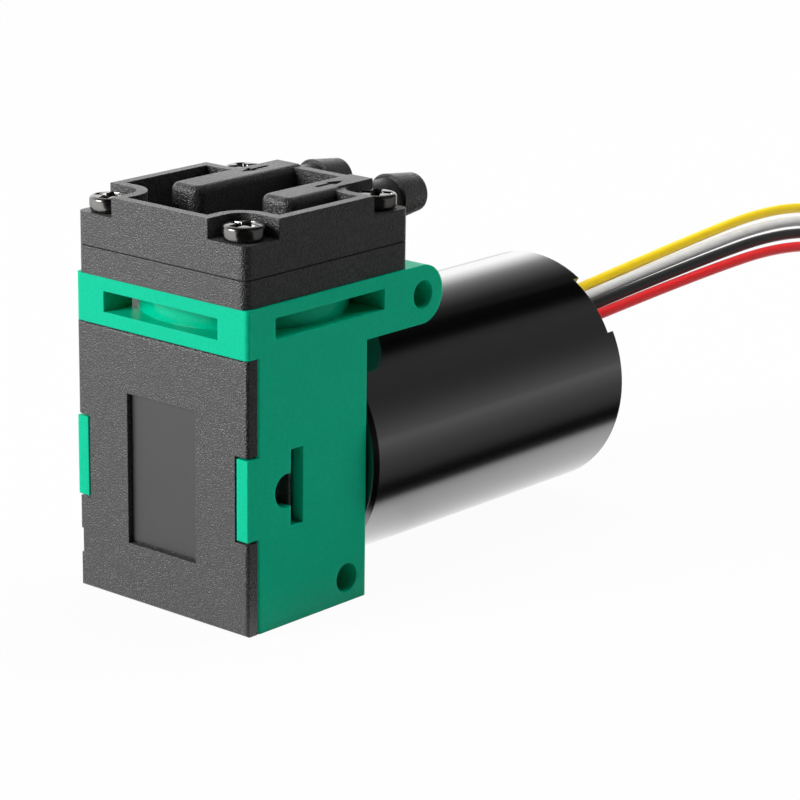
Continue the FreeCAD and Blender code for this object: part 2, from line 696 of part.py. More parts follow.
def make_channel(name, place):
    """One flow channel: a block with rounded edges, cut back beside the rear screw."""
    x, y = place
    side = math.copysign(1, x.value)
    front = y - d.channel_ahead
    body = new_body(name, node=False)
    pad(body, "z", pocket_floor - d.sink, channel_top,
        rectangle(x - d.channel_half, x + d.channel_half, front, half_depth))
    finish_edges(body, "Fillet", d.channel_round,
                 upright_at((x - d.channel_half, front), (x + d.channel_half, front)))
    finish_edges(
        body, "Fillet", d.channel_edge,
        lambda e: all(near(v.Point.z, channel_top) and near(v.Point.y, front) for v in e.Vertexes),
    )
    corner = rectangle(*span(side, d.notch_x, half_body), d.notch_back, half_depth + d.sink)
    pocket(body, "z", land, channel_top, corner)
    return body


def make_head_cover():
    """Black head cover with its rim, flow channels, arrows and hose ports."""
    body = new_body("head_cover")
    pad(body, "z", plate_top, rim, rectangle(-half_plate, half_plate, -half_depth, half_depth))
    finish_edges(body, "Fillet", d.plate_round,
                 upright_at(*both(half_plate, -half_depth, half_depth)))
    across, along = half_plate - d.joint_line_depth, half_depth - d.joint_line_depth
    outside = (half_plate + d.sink, half_depth + d.sink)
    pocket(body, "z", plate_top, plate_top + d.joint_line,
           rectangle(-outside[0], outside[0], -outside[1], outside[1]),
           rectangle(-across, across, -along, along))
    notches = []
    for sx in (-1, 1):
        for sy, start in ((-1, d.notch_front), (1, d.notch_back)):
            notches.append(rectangle(*span(sx, d.notch_x, outside[0]),
                                     *span(sy, start, outside[1])))
    pocket(body, "z", land, rim, *notches)
    finish_edges(body, "Fillet", d.notch_round,
                 upright_at(*both(d.notch_x, -d.notch_front, d.notch_back)))
    side = half_plate - d.rim_wall
    end = half_depth - d.rim_wall
    step_x = d.notch_x - d.rim_wall
    step_front = d.notch_front - d.rim_wall
    step_back = d.notch_back - d.rim_wall
    inside = (
        (-step_x, -end), (step_x, -end), (step_x, -step_front), (side, -step_front),
        (side, step_back), (step_x, step_back), (step_x, end), (-step_x, end),
        (-step_x, step_back), (-side, step_back), (-side, -step_front), (-step_x, -step_front),
    )
    pocket(body, "z", pocket_floor, rim, polygon(inside))
    finish_edges(body, "Fillet", d.notch_round + d.rim_wall,
                 upright_at(*both(step_x, -step_front, step_back)))
    channels = [make_channel(f"{kind}_channel", place) for kind, place in valves.items()]
    joined = body.newObject("PartDesign::Boolean", "head_cover_channels")
    joined.setObjects(channels)
    joined.Type = "Fuse"
    body.Tip = joined
    shoulder = half_depth + d.neck_length
    tip = shoulder + d.barb_length
    for x, y in valves.values():
        barb = (
            (half_depth - d.rim_wall, 0),
            (half_depth - d.rim_wall, d.port_neck),
            (shoulder, d.port_neck),
            (shoulder, d.barb_radius),
            (tip - d.port_lip, d.tip_radius),
            (tip, d.tip_radius - d.port_lip),
            (tip, 0),
        )
        turn(body, "y", (x, port_level), barb)
        pocket(body, "y", y, tip, circle(x, port_level, d.port_bore))
    x, y = valves["outlet"]
    pocket(body, "z", plate_top, port_level, circle(x, y, d.port_bore))
    reach = d.valve_pocket - d.joint_gap
    relief = rectangle(x - reach, x + reach, y - d.relief_half, y + d.relief_half)
    pocket(body, "z", plate_top, plate_top + d.seat_web, relief)
    x, y = valves["inlet"]
    pocket(body, "z", plate_top + d.seat_web, port_level, circle(x, y, d.port_bore + d.well_clear))
    drillings = [circle(u, v, d.seat_hole) for u, v in ring_of((x, y), d.inlet_ring, 3, 30)]
    pocket(body, "z", plate_top, plate_top + d.seat_web, *drillings)
    marks = (arrow(-d.valve_x, -1), arrow(d.valve_x, 1))
    pocket(body, "z", channel_top - d.arrow_depth, channel_top, *marks)
    holes = [circle(u, v, d.screw_clear) for u, v in screw_places]
    pocket(body, "z", plate_top, land, *holes)


def make_valve_discs():
    """Loose rubber discs: the inlet one hangs under its seat, the outlet one lies on its seat."""
    x, y = valves["inlet"]
    top = plate_top - d.joint_gap
    turned("inlet_valve_disc", "z", (y, x), tube(top - d.valve_thick, top, 0, d.valve_radius))
    x, y = valves["outlet"]
    low = plate_top - d.valve_depth + d.joint_gap
    turned("outlet_valve_disc", "z", (y, x), tube(low, low + d.valve_thick, 0, d.valve_radius))


def cross_outline(u, v):
    """Cross recess of a screw, seen along the screw."""
    far, web = d.cross_half, d.cross_web
    corners = []
    for a, b in ((1, 1), (-1, 1), (-1, -1), (1, -1)):
        arm = [(far, web), (web, web), (web, far)]
        if a * b < 0:
            arm.reverse()
        corners += [(u + a * p, v + b * q) for p, q in arm]
    return polygon(corners)


def make_head_screws():
    """Four pan-head screws through the head cover and plate into the housing."""
    screws = []
    crown = land + d.screw_head_height
    for number, (x, y) in enumerate(screw_places, 1):
        profile = (
            (screw_end, 0),
            (screw_end, d.screw_radius),
            (land, d.screw_radius),
            (land, d.screw_head),
            (crown - d.screw_head_round, d.screw_head),
            (crown, d.screw_head - d.screw_head_round * 0.8),
            (crown, 0),
        )
        screw = turned(f"head_screw_{number}", "z", (y, x), profile, node=False)
        pocket(screw, "z", crown - d.cross_depth, crown, cross_outline(x, y))
        screws.append(screw)
    group("head_screws", screws)


def make_motor_screws():
    """Two screws from inside the crankcase into the motor's front face."""
    screws = []
    seat = chamber_back
    for number, side in enumerate((-1, 1), 1):
        profile = (
            (seat - d.fix_head_height, 0),
            (seat - d.fix_head_height, d.fix_head - d.fix_head_round),
            (seat - d.fix_head_height + d.fix_head_round, d.fix_head),
            (seat, d.fix_head),
            (seat, d.fix_radius),
            (seat + d.fix_length, d.fix_radius),
            (seat + d.fix_length, 0),
        )
        screws.append(
            turned(f"motor_screw_{number}", "y", (side * d.fix_x, axle), profile, node=False)
        )
    group("motor_screws", screws)


def make_diaphragm():
    """Moulded rubber diaphragm: clamped rim with a bead, one roll, and a cup for the insert."""
    rim_low = d.band_top - d.rim_thick
    bead_in = d.bead_radius - d.bead_width / 2
    bead_out = d.bead_radius + d.bead_width / 2
    bead_low = rim_low - d.bead_depth
    edge = d.bore_radius - d.rim_inward
    cup = d.insert_radius + d.joint_gap
    hub = cup + d.hub_wall
    cup_top = insert_top + d.joint_gap
    roll_in, roll_out = hub + (edge - hub) * 0.35, hub + (edge - hub) * 0.65
    section = (
        (cup_top, 0), (cup_top, cup), (insert_low, cup), (insert_low, hub),
        (insert_low - d.roll_drop / 2, roll_in), (insert_low - d.roll_drop / 2, roll_out),
        (rim_low, edge), (rim_low, bead_in), (bead_low, bead_in), (bead_low, bead_out),
        (rim_low, bead_out), (rim_low, d.seat_radius - d.joint_gap),
        (d.band_top, d.seat_radius - d.joint_gap), (d.band_top, edge),
        (d.band_top - d.roll_drop, roll_out), (d.band_top - d.roll_drop, roll_in),
        (d.band_top, hub), (cup_top + d.membrane_thick, cup), (cup_top + d.membrane_thick, 0),
    )
    turned("diaphragm", "z", (0, 0), section)


def add_feature(name, shape, node=True):
    """Keeps a shape that is worked out in code as an object of the document."""
    feature = doc.addObject("Part::Feature", name)
    feature.Shape = shape
    feature.Placement = Placement()
    feature.Label = name
    if node:
        nodes[name] = feature
    return feature


def make_insert():
    """Metal disc in the diaphragm with its stud down into the connecting rod."""
    profile = (
        (insert_low - d.stud_length, 0),
        (insert_low - d.stud_length, d.stud_radius),
        (insert_low, d.stud_radius),
        (insert_low, d.insert_radius),
        (insert_top, d.insert_radius),
        (insert_top, 0),
    )
    turned("diaphragm_insert", "z", (0, 0), profile)


def make_connecting_rod():
    """Rod with its eye round the crank bearing, an I-shaped shank and a flange at the top."""
    body = new_body("connecting_rod")
    half = d.rod_width / 2
    flange_top = insert_low
    flange_low = flange_top - d.rod_flange_thick
    pad(body, "y", -half, half, circle(0, crank, d.rod_eye))
    shank = polygon((
        (-d.rod_foot, crank + d.crank_bearing),
        (d.rod_foot, crank + d.crank_bearing),
        (d.rod_neck, flange_low + d.rod_flange_thick / 2),
        (-d.rod_neck, flange_low + d.rod_flange_thick / 2),
    ))
    pad(body, "y", -half, half, shank)
    pad(body, "z", flange_low, flange_top, circle(0, 0, d.rod_flange))
    boss = d.stud_radius + d.collar_wall
    boss_low = flange_top - d.stud_length - d.rod_boss_floor
    pad(body, "z", boss_low, flange_low + d.rod_flange_thick / 2, circle(0, 0, boss))
    foot, neck = d.rod_foot - d.rod_rib_foot, d.rod_neck - d.rod_rib_neck
    web_low, web_high = crank + d.rod_eye + d.rod_web_gap, boss_low - d.rod_web_gap
    web = polygon(((-foot, web_low), (foot, web_low), (neck, web_high), (-neck, web_high)))
    pocket(body, "y", -half, -d.rod_web / 2, web)
    pocket(body, "y", d.rod_web / 2, half, web)
    pocket(body, "y", -half, half, circle(0, crank, d.crank_bearing))
    pocket(body, "z", flange_top - d.stud_length, flange_top, circle(0, 0, d.stud_radius))


def make_eccentric():
    """Eccentric journal and counterweight, held on the shaft by a set screw."""
    body = new_body("eccentric")
    rod_front = -d.rod_width / 2
    weight_back = rod_front - d.weight_gap
    weight_front = weight_back - d.weight_thick
    bearing_half = d.crank_bearing_width / 2
    flange_back = bearing_half + d.journal_flange
    pad(body, "y", weight_back - d.sink, bearing_half, circle(0, crank, d.crank_journal))
    pad(body, "y", bearing_half, flange_back, circle(0, crank, d.crank_journal + d.crank_ring))
    hub_back = chamber_back - d.weight_gap
    pad(body, "y", flange_back - d.journal_flange / 2, hub_back,
        circle(0, axle, d.hub_radius - d.hub_step))
    pad(body, "y", weight_front, weight_back, circle(0, axle, d.weight_radius))
    reach = d.weight_radius + d.sink
    shoulder = d.hub_radius + d.hub_wall_web
    low, high = axle - d.weight_shoulder, axle + reach
    above = [
        (-reach, low),
        (-shoulder, low),
        (-shoulder * 0.75, axle + d.hub_radius * 0.8),
        (0, axle + d.hub_radius * 1.25),
        (shoulder * 0.75, axle + d.hub_radius * 0.8),
        (shoulder, low),
        (reach, low),
        (reach, high),
        (-reach, high),
    ]
    pocket(body, "y", weight_front, weight_back, polygon(above))
    pocket(body, "y", weight_front, hub_back, circle(0, axle, d.shaft_radius))
    grub_y = (weight_front + weight_back) / 2
    pocket(body, "z", axle - d.weight_radius, axle - d.shaft_radius,
           circle(0, grub_y, d.grub_radius))
    screw = new_body("set_screw")
    top = axle - d.shaft_radius
    pad(screw, "z", top - d.grub_length, top, circle(0, grub_y, d.grub_radius))
    socket = polygon(ring_of((as_size(0), grub_y), d.grub_socket, 6))
    low = top - d.grub_length
    pocket(screw, "z", low, low + d.grub_socket_depth, socket)


def make_bearing(name, middle, start, width, inner, outer, wall):
    """Shielded bearing: inner ring, and outer ring with its two shields. The balls stay out."""
    inner_edge = inner + wall
    outer_edge = outer - wall
    end = start + width
    turned(f"{name}_inner_ring", "y", (0, middle), tube(start, end, inner, inner_edge))
    lip = inner_edge + d.shield_gap
    section = (
        (start, outer), (start, lip), (start + d.shield_thick, lip),
        (start + d.shield_thick, outer_edge), (end - d.shield_thick, outer_edge),
        (end - d.shield_thick, lip), (end, lip), (end, outer),
    )
    turned(f"{name}_outer_ring", "y", (0, middle), section)


def make_bearings():
    width = d.bearing_width
    front = motor_front - d.pilot_length + d.seat_lip
    rear_end = cap_back - d.seat_lip
    motor_bearing = (width, d.shaft_radius, d.bearing_radius, d.bearing_wall)
    make_bearing("front_bearing", axle, front, *motor_bearing)
    make_bearing("rear_bearing", axle, rear_end - width, *motor_bearing)
    half = d.crank_bearing_width / 2
    make_bearing("crank_bearing", crank, -half, 2 * half,
                 d.crank_journal, d.crank_bearing, d.crank_ring)


def sector(middle, half, inner, outer):
    """Four-cornered piece of a ring round the motor axis, angles in degrees."""
    corners = []
    for radius, side in ((inner, -1), (outer, -1), (outer, 1), (inner, 1)):
        angle = middle + side * half
        corners.append((radius * cosine(angle), axle + radius * sine(angle)))
    return polygon(corners)


def make_motor_can():
    """Deep-drawn can with the front face, bearing boss and the rear rim's notch."""
    body = new_body("motor_can")
    inside = d.motor_radius - d.can_wall
    boss_front = motor_front - d.pilot_length
    wall_back = motor_front + d.can_front
    seat_front = boss_front + d.seat_lip
    seat_back = seat_front + d.bearing_width
    hole = d.shaft_radius + d.shaft_clear
    section = (
        (boss_front, hole), (boss_front, d.pilot_radius),
        (motor_front, d.pilot_radius), (motor_front, d.motor_radius - d.can_round),
        (motor_front + d.can_round, d.motor_radius), (motor_back, d.motor_radius),
        (motor_back, inside),
        (wall_back, inside), (wall_back, d.pilot_radius),
        (seat_back, d.pilot_radius), (seat_back, d.bearing_radius),
        (seat_front, d.bearing_radius), (seat_front, hole),
    )
    turn(body, "y", (0, axle), section)
    taps = [circle(side * d.fix_x, axle, d.fix_radius) for side in (-1, 1)]
    pocket(body, "y", motor_front, wall_back, *taps)
    notch = sector(d.notch_middle, d.notch_half, inside - 1, d.motor_radius + 3)
    pocket(body, "y", motor_back - d.rim_notch_depth, motor_back, notch)


def make_stator():
    """Six-tooth lamination stack with a coil on each tooth."""
    body = new_body("stator_stack")
    outer = d.motor_radius - d.can_wall
    start, end = stator_start, stator_end
    pad(body, "y", start, end, circle(0, axle, outer), circle(0, axle, d.stator_bore))
    yoke = outer - d.stator_back
    turn_sine, turn_cosine = 0.5, math.sqrt(3) / 2

    def beside_tooth(along):
        """A point on the tooth's flank, in slot coordinates."""
        across = along * turn_sine - d.tooth_half * turn_cosine
        return across, along * turn_cosine + d.tooth_half * turn_sine

    mouth = d.stator_bore + d.tooth_tip
    low, high = beside_tooth(mouth + d.tooth_slope), beside_tooth(yoke - d.slot_corner)
    cutter = new_sketch(body, "y", start, up=axle)
    outline(cutter, (
        (-d.slot_mouth, d.stator_bore - d.sink), (d.slot_mouth, d.stator_bore - d.sink),
        (d.slot_mouth, mouth), low, high, (high[0] * 0.5, yoke),
        (-high[0] * 0.5, yoke), (-high[0], high[1]), (-low[0], low[1]), (-d.slot_mouth, mouth),
    ))
    cut = body.newObject("PartDesign::Pocket", "stator_slot")
    cut.Profile = cutter
    cut.setExpression("Length", (end - start).text)
    doc.recompute()
    before = cut.Shape.Volume
    pattern = body.newObject("PartDesign::PolarPattern", "stator_slots")
    pattern.Originals = [cut]
    pattern.Axis = (cutter, ["N_Axis"])
    pattern.Angle = 360
    pattern.Occurrences = 6
    body.Tip = pattern
    doc.recompute()
    if not pattern.Shape.Volume < before - 1:
        raise RuntimeError("the slots are not repeated")


def make_coils():
    """Six wound coils, each a ring round its tooth."""
    liner = d.slot_liner.value
    start = stator_start.value - liner
    end = stator_end.value + liner
    inner = d.tooth_half.value + liner
    outer = inner + d.coil_thick.value
    low, high = d.coil_low.value, d.coil_high.value
    spread = d.coil_end.value
    coils = []
    for i in range(6):
        block = Part.makeBox(2 * outer, end - start + 2 * spread, high - low,
                             Vector(-outer, start - spread, low))
        window = Part.makeBox(2 * inner, end - start, high - low + 2,
                              Vector(-inner, start, low - 1))
        coil = block.cut(window)
        coil.rotate(Vector(0, 0, 0), Vector(0, 1, 0), 30 + 60 * i)
        coil.translate(Vector(0, 0, axle.value))
        coils.append(coil)
    add_feature("stator_coils", Part.Compound(coils))


def make_rotor():
    """Shaft, steel core and magnet ring."""
    rear = cap_back - d.seat_lip - d.shaft_short
    shaft = (
        (-d.shaft_front, 0), (-d.shaft_front, d.shaft_radius - d.shaft_chamfer),
        (d.shaft_chamfer - d.shaft_front, d.shaft_radius), (rear, d.shaft_radius), (rear, 0),
    )
    turned("motor_shaft", "y", (0, axle), shaft)
    start, end = stator_start - d.rotor_past, stator_end + d.rotor_past
    turned("rotor_core", "y", (0, axle), tube(start, end, d.shaft_radius, d.core_radius))
    outer = d.stator_bore - d.air_gap
    turned("rotor_magnet", "y", (0, axle), tube(start, end, d.core_radius, outer))


# Components on the driver board: across, up from the shaft, width, height, thickness.
COMPONENTS = (
    (0, -7.6, 5.0, 5.0, 0.9), (-7.4, 2.2, 3.2, 1.7, 0.8), (-7.0, -2.6, 3.2, 1.7, 0.8),
    (7.4, -3.0, 3.0, 2.6, 1.1), (6.6, 2.6, 1.7, 3.0, 1.0), (-2.6, 7.6, 3.6, 2.4, 1.4),
)


def make_board():
    """End insulator with its posts, the driver board and what is soldered on it."""
    body = new_body("end_insulator")
    start = stator_end
    outer = d.motor_radius - d.can_wall - d.insulator_gap
    pad(body, "y", start, start + d.insulator_thick,
        circle(0, axle, outer), circle(0, axle, d.motor_radius - d.can_wall - d.stator_back))
    orbit = outer - d.post_inset
    posts = [circle(x, z, d.post_radius) for x, z in ring_of((as_size(0), axle), orbit, 3, 90)]
    pad(body, "y", start, board_front, *posts)
    board = new_body("circuit_board")
    back = board_front + d.board_thick
    pad(board, "y", board_front, back,
        circle(0, axle, d.board_radius), circle(0, axle, d.board_hole))
    parts = []
    for x, z, width, height, thick in COMPONENTS:
        corner = Vector(x - width / 2, back.value, axle.value + z - height / 2)
        parts.append(Part.makeBox(width, thick, height, corner))
    add_feature("board_components", Part.Compound(parts))


def make_rear_cap():
    """Rear end cap with its bearing seat, and the grommet that the leads leave through."""
    body = new_body("motor_rear_cap")
    back = cap_back
    front = back - d.cap_thick
    outer = d.motor_radius - d.can_wall - d.cap_gap
    collar = d.bearing_radius + d.collar_wall
    lip = back - d.seat_lip
    seat_front = lip - d.bearing_width
    hole = d.shaft_radius + d.shaft_clear
    section = (
        (front, outer), (back, outer), (back, hole),
        (lip, hole), (lip, d.bearing_radius),
        (seat_front, d.bearing_radius), (seat_front, collar), (front, collar),
    )
    turn(body, "y", (0, axle), section)
    opening = sector(d.grommet_middle, d.grommet_half, d.grommet_low, outer + d.sink)
    pocket(body, "y", front, back, opening)
    grommet = new_body("lead_grommet")
    pad(grommet, "y", front, back + d.grommet_proud,
        sector(d.grommet_middle, d.grommet_half - d.grommet_slack,
               d.grommet_low + d.joint_gap, outer))


# Leads, in the order that they leave the grommet, and how many steps from its middle.
LEADS = {"yellow": 1.5, "white": 0.5, "black": -0.5, "red": -1.5}

# Each lead's route from its own exit, in millimetres: across, back, up. The last two points
# lie on the surface that the pump stands on, so they have no height of their own.
LEAD_ROUTES = {
    "yellow": (((0.1, 20.0, 2.0), (0.1, 43.0, 3.7), (-0.2, 60.0, 0.0), (-0.6, 68.5, -15.0)),
               ((-1.0, 79.0), (-1.6, 93.0))),
    "white": (((0.1, 20.0, 1.75), (0.15, 43.0, 3.0), (0.15, 59.4, -0.8), (0.3, 67.4, -15.0)),
              ((0.6, 77.2), (1.0, 90.2))),
    "black": (((0.2, 20.0, 1.65), (0.45, 42.5, 2.7), (1.0, 58.6, -1.4), (1.8, 66.6, -14.8)),
              ((2.6, 77.0), (3.7, 90.0))),
    "red": (((0.25, 20.0, 1.55), (0.7, 42.0, 2.3), (1.9, 57.6, -2.0), (3.3, 65.2, -14.0)),
            ((4.7, 74.6), (6.9, 86.4))),
}


def rounded_path(points):
    """Straight runs joined by tangent arcs, as large as the runs beside them allow."""
    edges = []
    radii = []
    last = points[0]
    for before, corner, after in zip(points, points[1:], points[2:]):
        into, out = corner - before, after - corner
        half_turn = into.getAngle(out) / 2
        room = 0.45 * min(into.Length, out.Length)
        into.normalize()
        out.normalize()
        start, end = corner - into * room, corner + out * room
        radius = room / math.tan(half_turn)
        bisector = out - into
        bisector.normalize()
        middle = corner + bisector * (radius / math.cos(half_turn) - radius)
        edges.append(Part.LineSegment(last, start).toShape())
        edges.append(Part.Arc(start, middle, end).toShape())
        radii.append(round(radius, 1))
        last = end
    edges.append(Part.LineSegment(last, points[-1]).toShape())
    return Part.Wire(edges), radii


def round_tube(path, start, direction, diameter):
    section = Part.Wire([Part.Circle(start, direction, diameter / 2).toShape()])
    return path.makePipeShell([section], True, False)


def lowest_point(shape):
    corners, _ = shape.tessellate(0.05)
    return min(corner.z for corner in corners)


def make_leads():
    """Four motor leads with stripped and tinned ends."""
    exit_level = cap_back + d.grommet_proud
    for colour, steps in LEADS.items():
        angle = math.radians((d.grommet_middle + steps * d.lead_step).value)
        base = Vector(d.lead_orbit.value * math.cos(angle), exit_level.value,
                      axle.value + d.lead_orbit.value * math.sin(angle))
        diameter = d.lead_diameter.value
        aloft, laid = LEAD_ROUTES[colour]
        points = [base] + [base + Vector(*step) for step in aloft]
        for across, back in laid:
            laid_level = diameter / 2 + d.lead_clear.value
            points.append(Vector(base.x + across, base.y + back, laid_level))
        path, radii = rounded_path(points)
        shape = round_tube(path, points[0], points[1] - points[0], diameter)
        expected = math.pi * diameter ** 2 / 4 * path.Length
        print(f"lead_{colour}: length {path.Length:.1f}, radii {radii}, "
              f"volume {shape.Volume / expected:.4f} of section times length, "
              f"lowest {lowest_point(shape):.2f}")
        add_feature(f"lead_{colour}", shape)
        along = points[-1] - points[-2]
        tip = Part.makeCylinder(d.tip_diameter.value / 2, d.tip_length.value, points[-1], along)
        add_feature(f"lead_tip_{colour}", tip)


def check_document():
    """Stops if any object of the document failed or any sub-part is not a valid shape."""
    for item in doc.Objects:
        if "Invalid" in item.State or "Error" in item.State:
            raise RuntimeError(f"{item.Name} failed: {item.State}")
    for name, item in nodes.items():
        if item.Shape.isNull() or not item.Shape.isValid():
            raise RuntimeError(f"{name} is not a valid shape")


make_housing()
make_front_cover()
make_label()
make_intermediate_plate()
make_valve_gaskets()
make_head_cover()
make_valve_discs()
make_head_screws()
make_motor_screws()
make_diaphragm()
make_insert()
make_connecting_rod()
make_eccentric()
make_bearings()
make_motor_can()
make_stator()
make_coils()
make_rotor()
make_board()
make_rear_cap()
make_leads()
doc.recompute()
check_document()

os.makedirs("parts", exist_ok=True)
for name, item in nodes.items():
    item.Shape.exportStep(f"parts/{name}.step")
    box = item.Shape.BoundBox
    print(f"{name}: {len(item.Shape.Solids)} solid(s), {item.Shape.Volume:.1f} mm3, "
          f"x {box.XMin:.2f} to {box.XMax:.2f}, y {box.YMin:.2f} to {box.YMax:.2f}, "
          f"z {box.ZMin:.2f} to {box.ZMax:.2f}")
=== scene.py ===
"""Looks of a small diaphragm vacuum pump: finishes, screws, diaphragm, leads and the studio round them."""

import json
import logging
import math
from dataclasses import dataclass
from enum import Enum

import bmesh
import bpy
import numpy as np
from bpy.types import Material, Mesh, Node, NodeSocket as Socket, NodeTree, Object
from mathutils import Matrix, Vector

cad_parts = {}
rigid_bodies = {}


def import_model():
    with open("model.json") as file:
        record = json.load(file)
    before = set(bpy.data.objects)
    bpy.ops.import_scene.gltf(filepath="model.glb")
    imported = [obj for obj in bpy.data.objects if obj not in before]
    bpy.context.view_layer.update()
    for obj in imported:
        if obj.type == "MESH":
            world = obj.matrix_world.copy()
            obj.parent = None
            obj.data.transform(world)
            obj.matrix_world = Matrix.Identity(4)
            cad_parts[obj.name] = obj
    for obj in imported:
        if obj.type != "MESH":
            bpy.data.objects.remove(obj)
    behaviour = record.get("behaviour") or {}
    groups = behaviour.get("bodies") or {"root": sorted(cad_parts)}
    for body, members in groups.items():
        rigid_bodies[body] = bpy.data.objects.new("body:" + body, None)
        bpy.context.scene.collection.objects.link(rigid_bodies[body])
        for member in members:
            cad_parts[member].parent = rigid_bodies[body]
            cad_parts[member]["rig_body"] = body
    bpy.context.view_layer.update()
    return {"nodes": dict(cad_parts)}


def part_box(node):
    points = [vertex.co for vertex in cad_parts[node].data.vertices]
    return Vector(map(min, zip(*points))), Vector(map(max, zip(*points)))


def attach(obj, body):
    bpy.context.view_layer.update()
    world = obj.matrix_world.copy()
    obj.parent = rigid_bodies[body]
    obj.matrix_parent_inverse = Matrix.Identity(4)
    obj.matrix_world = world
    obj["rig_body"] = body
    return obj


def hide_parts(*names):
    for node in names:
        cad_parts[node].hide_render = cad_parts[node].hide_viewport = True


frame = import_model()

MM = 0.001
BEVEL_SAMPLES = 6
SAME_TURN = 150  # triangles are one flat face where their normals agree to one part in this
SAME_HEIGHT = 5e-3 * MM  # and where the heights of their planes agree to this
WAVE_PERIOD = 0.3142  # length of one wave of the wave texture at scale 1
log = logging.getLogger("pump")

Pair = tuple[float, float]
Triple = tuple[float, float, float]
Stops = tuple[Pair, ...]


class Colour(Enum):
    """Colours of the pump's finishes, as linear red, green and blue."""

    GREEN = (0.0, 0.415, 0.235)
    BLACK_PLASTIC = (0.023, 0.023, 0.0235)
    LABEL = (0.021, 0.021, 0.0215)
    MOTOR_BLACK = (0.002, 0.002, 0.002)
    SCREW_NICKEL = (0.15, 0.145, 0.14)
    STEEL = (0.55, 0.55, 0.56)
    BEARING = (0.66, 0.66, 0.68)
    LAMINATION = (0.28, 0.29, 0.31)
    RUBBER = (0.022, 0.022, 0.023)
    ROD = (0.62, 0.60, 0.54)
    CRANK = (0.55, 0.55, 0.56)
    COPPER = (0.75, 0.30, 0.12)
    MAGNET = (0.16, 0.16, 0.165)
    INSULATOR = (0.75, 0.73, 0.66)
    BOARD = (0.02, 0.15, 0.06)
    CHIP = (0.02, 0.02, 0.02)
    TINNED = (0.66, 0.65, 0.62)
    YELLOW = (1.0, 0.68, 0.0)
    WHITE = (0.75, 0.74, 0.72)
    BLACK = (0.012, 0.012, 0.013)
    RED = (0.80, 0.010, 0.014)


def tinted(colour: Colour, factor: float) -> tuple[float, float, float, float]:
    """A colour made lighter or darker by a factor, with full opacity."""
    return (*(min(channel * factor, 1.0) for channel in colour.value), 1)


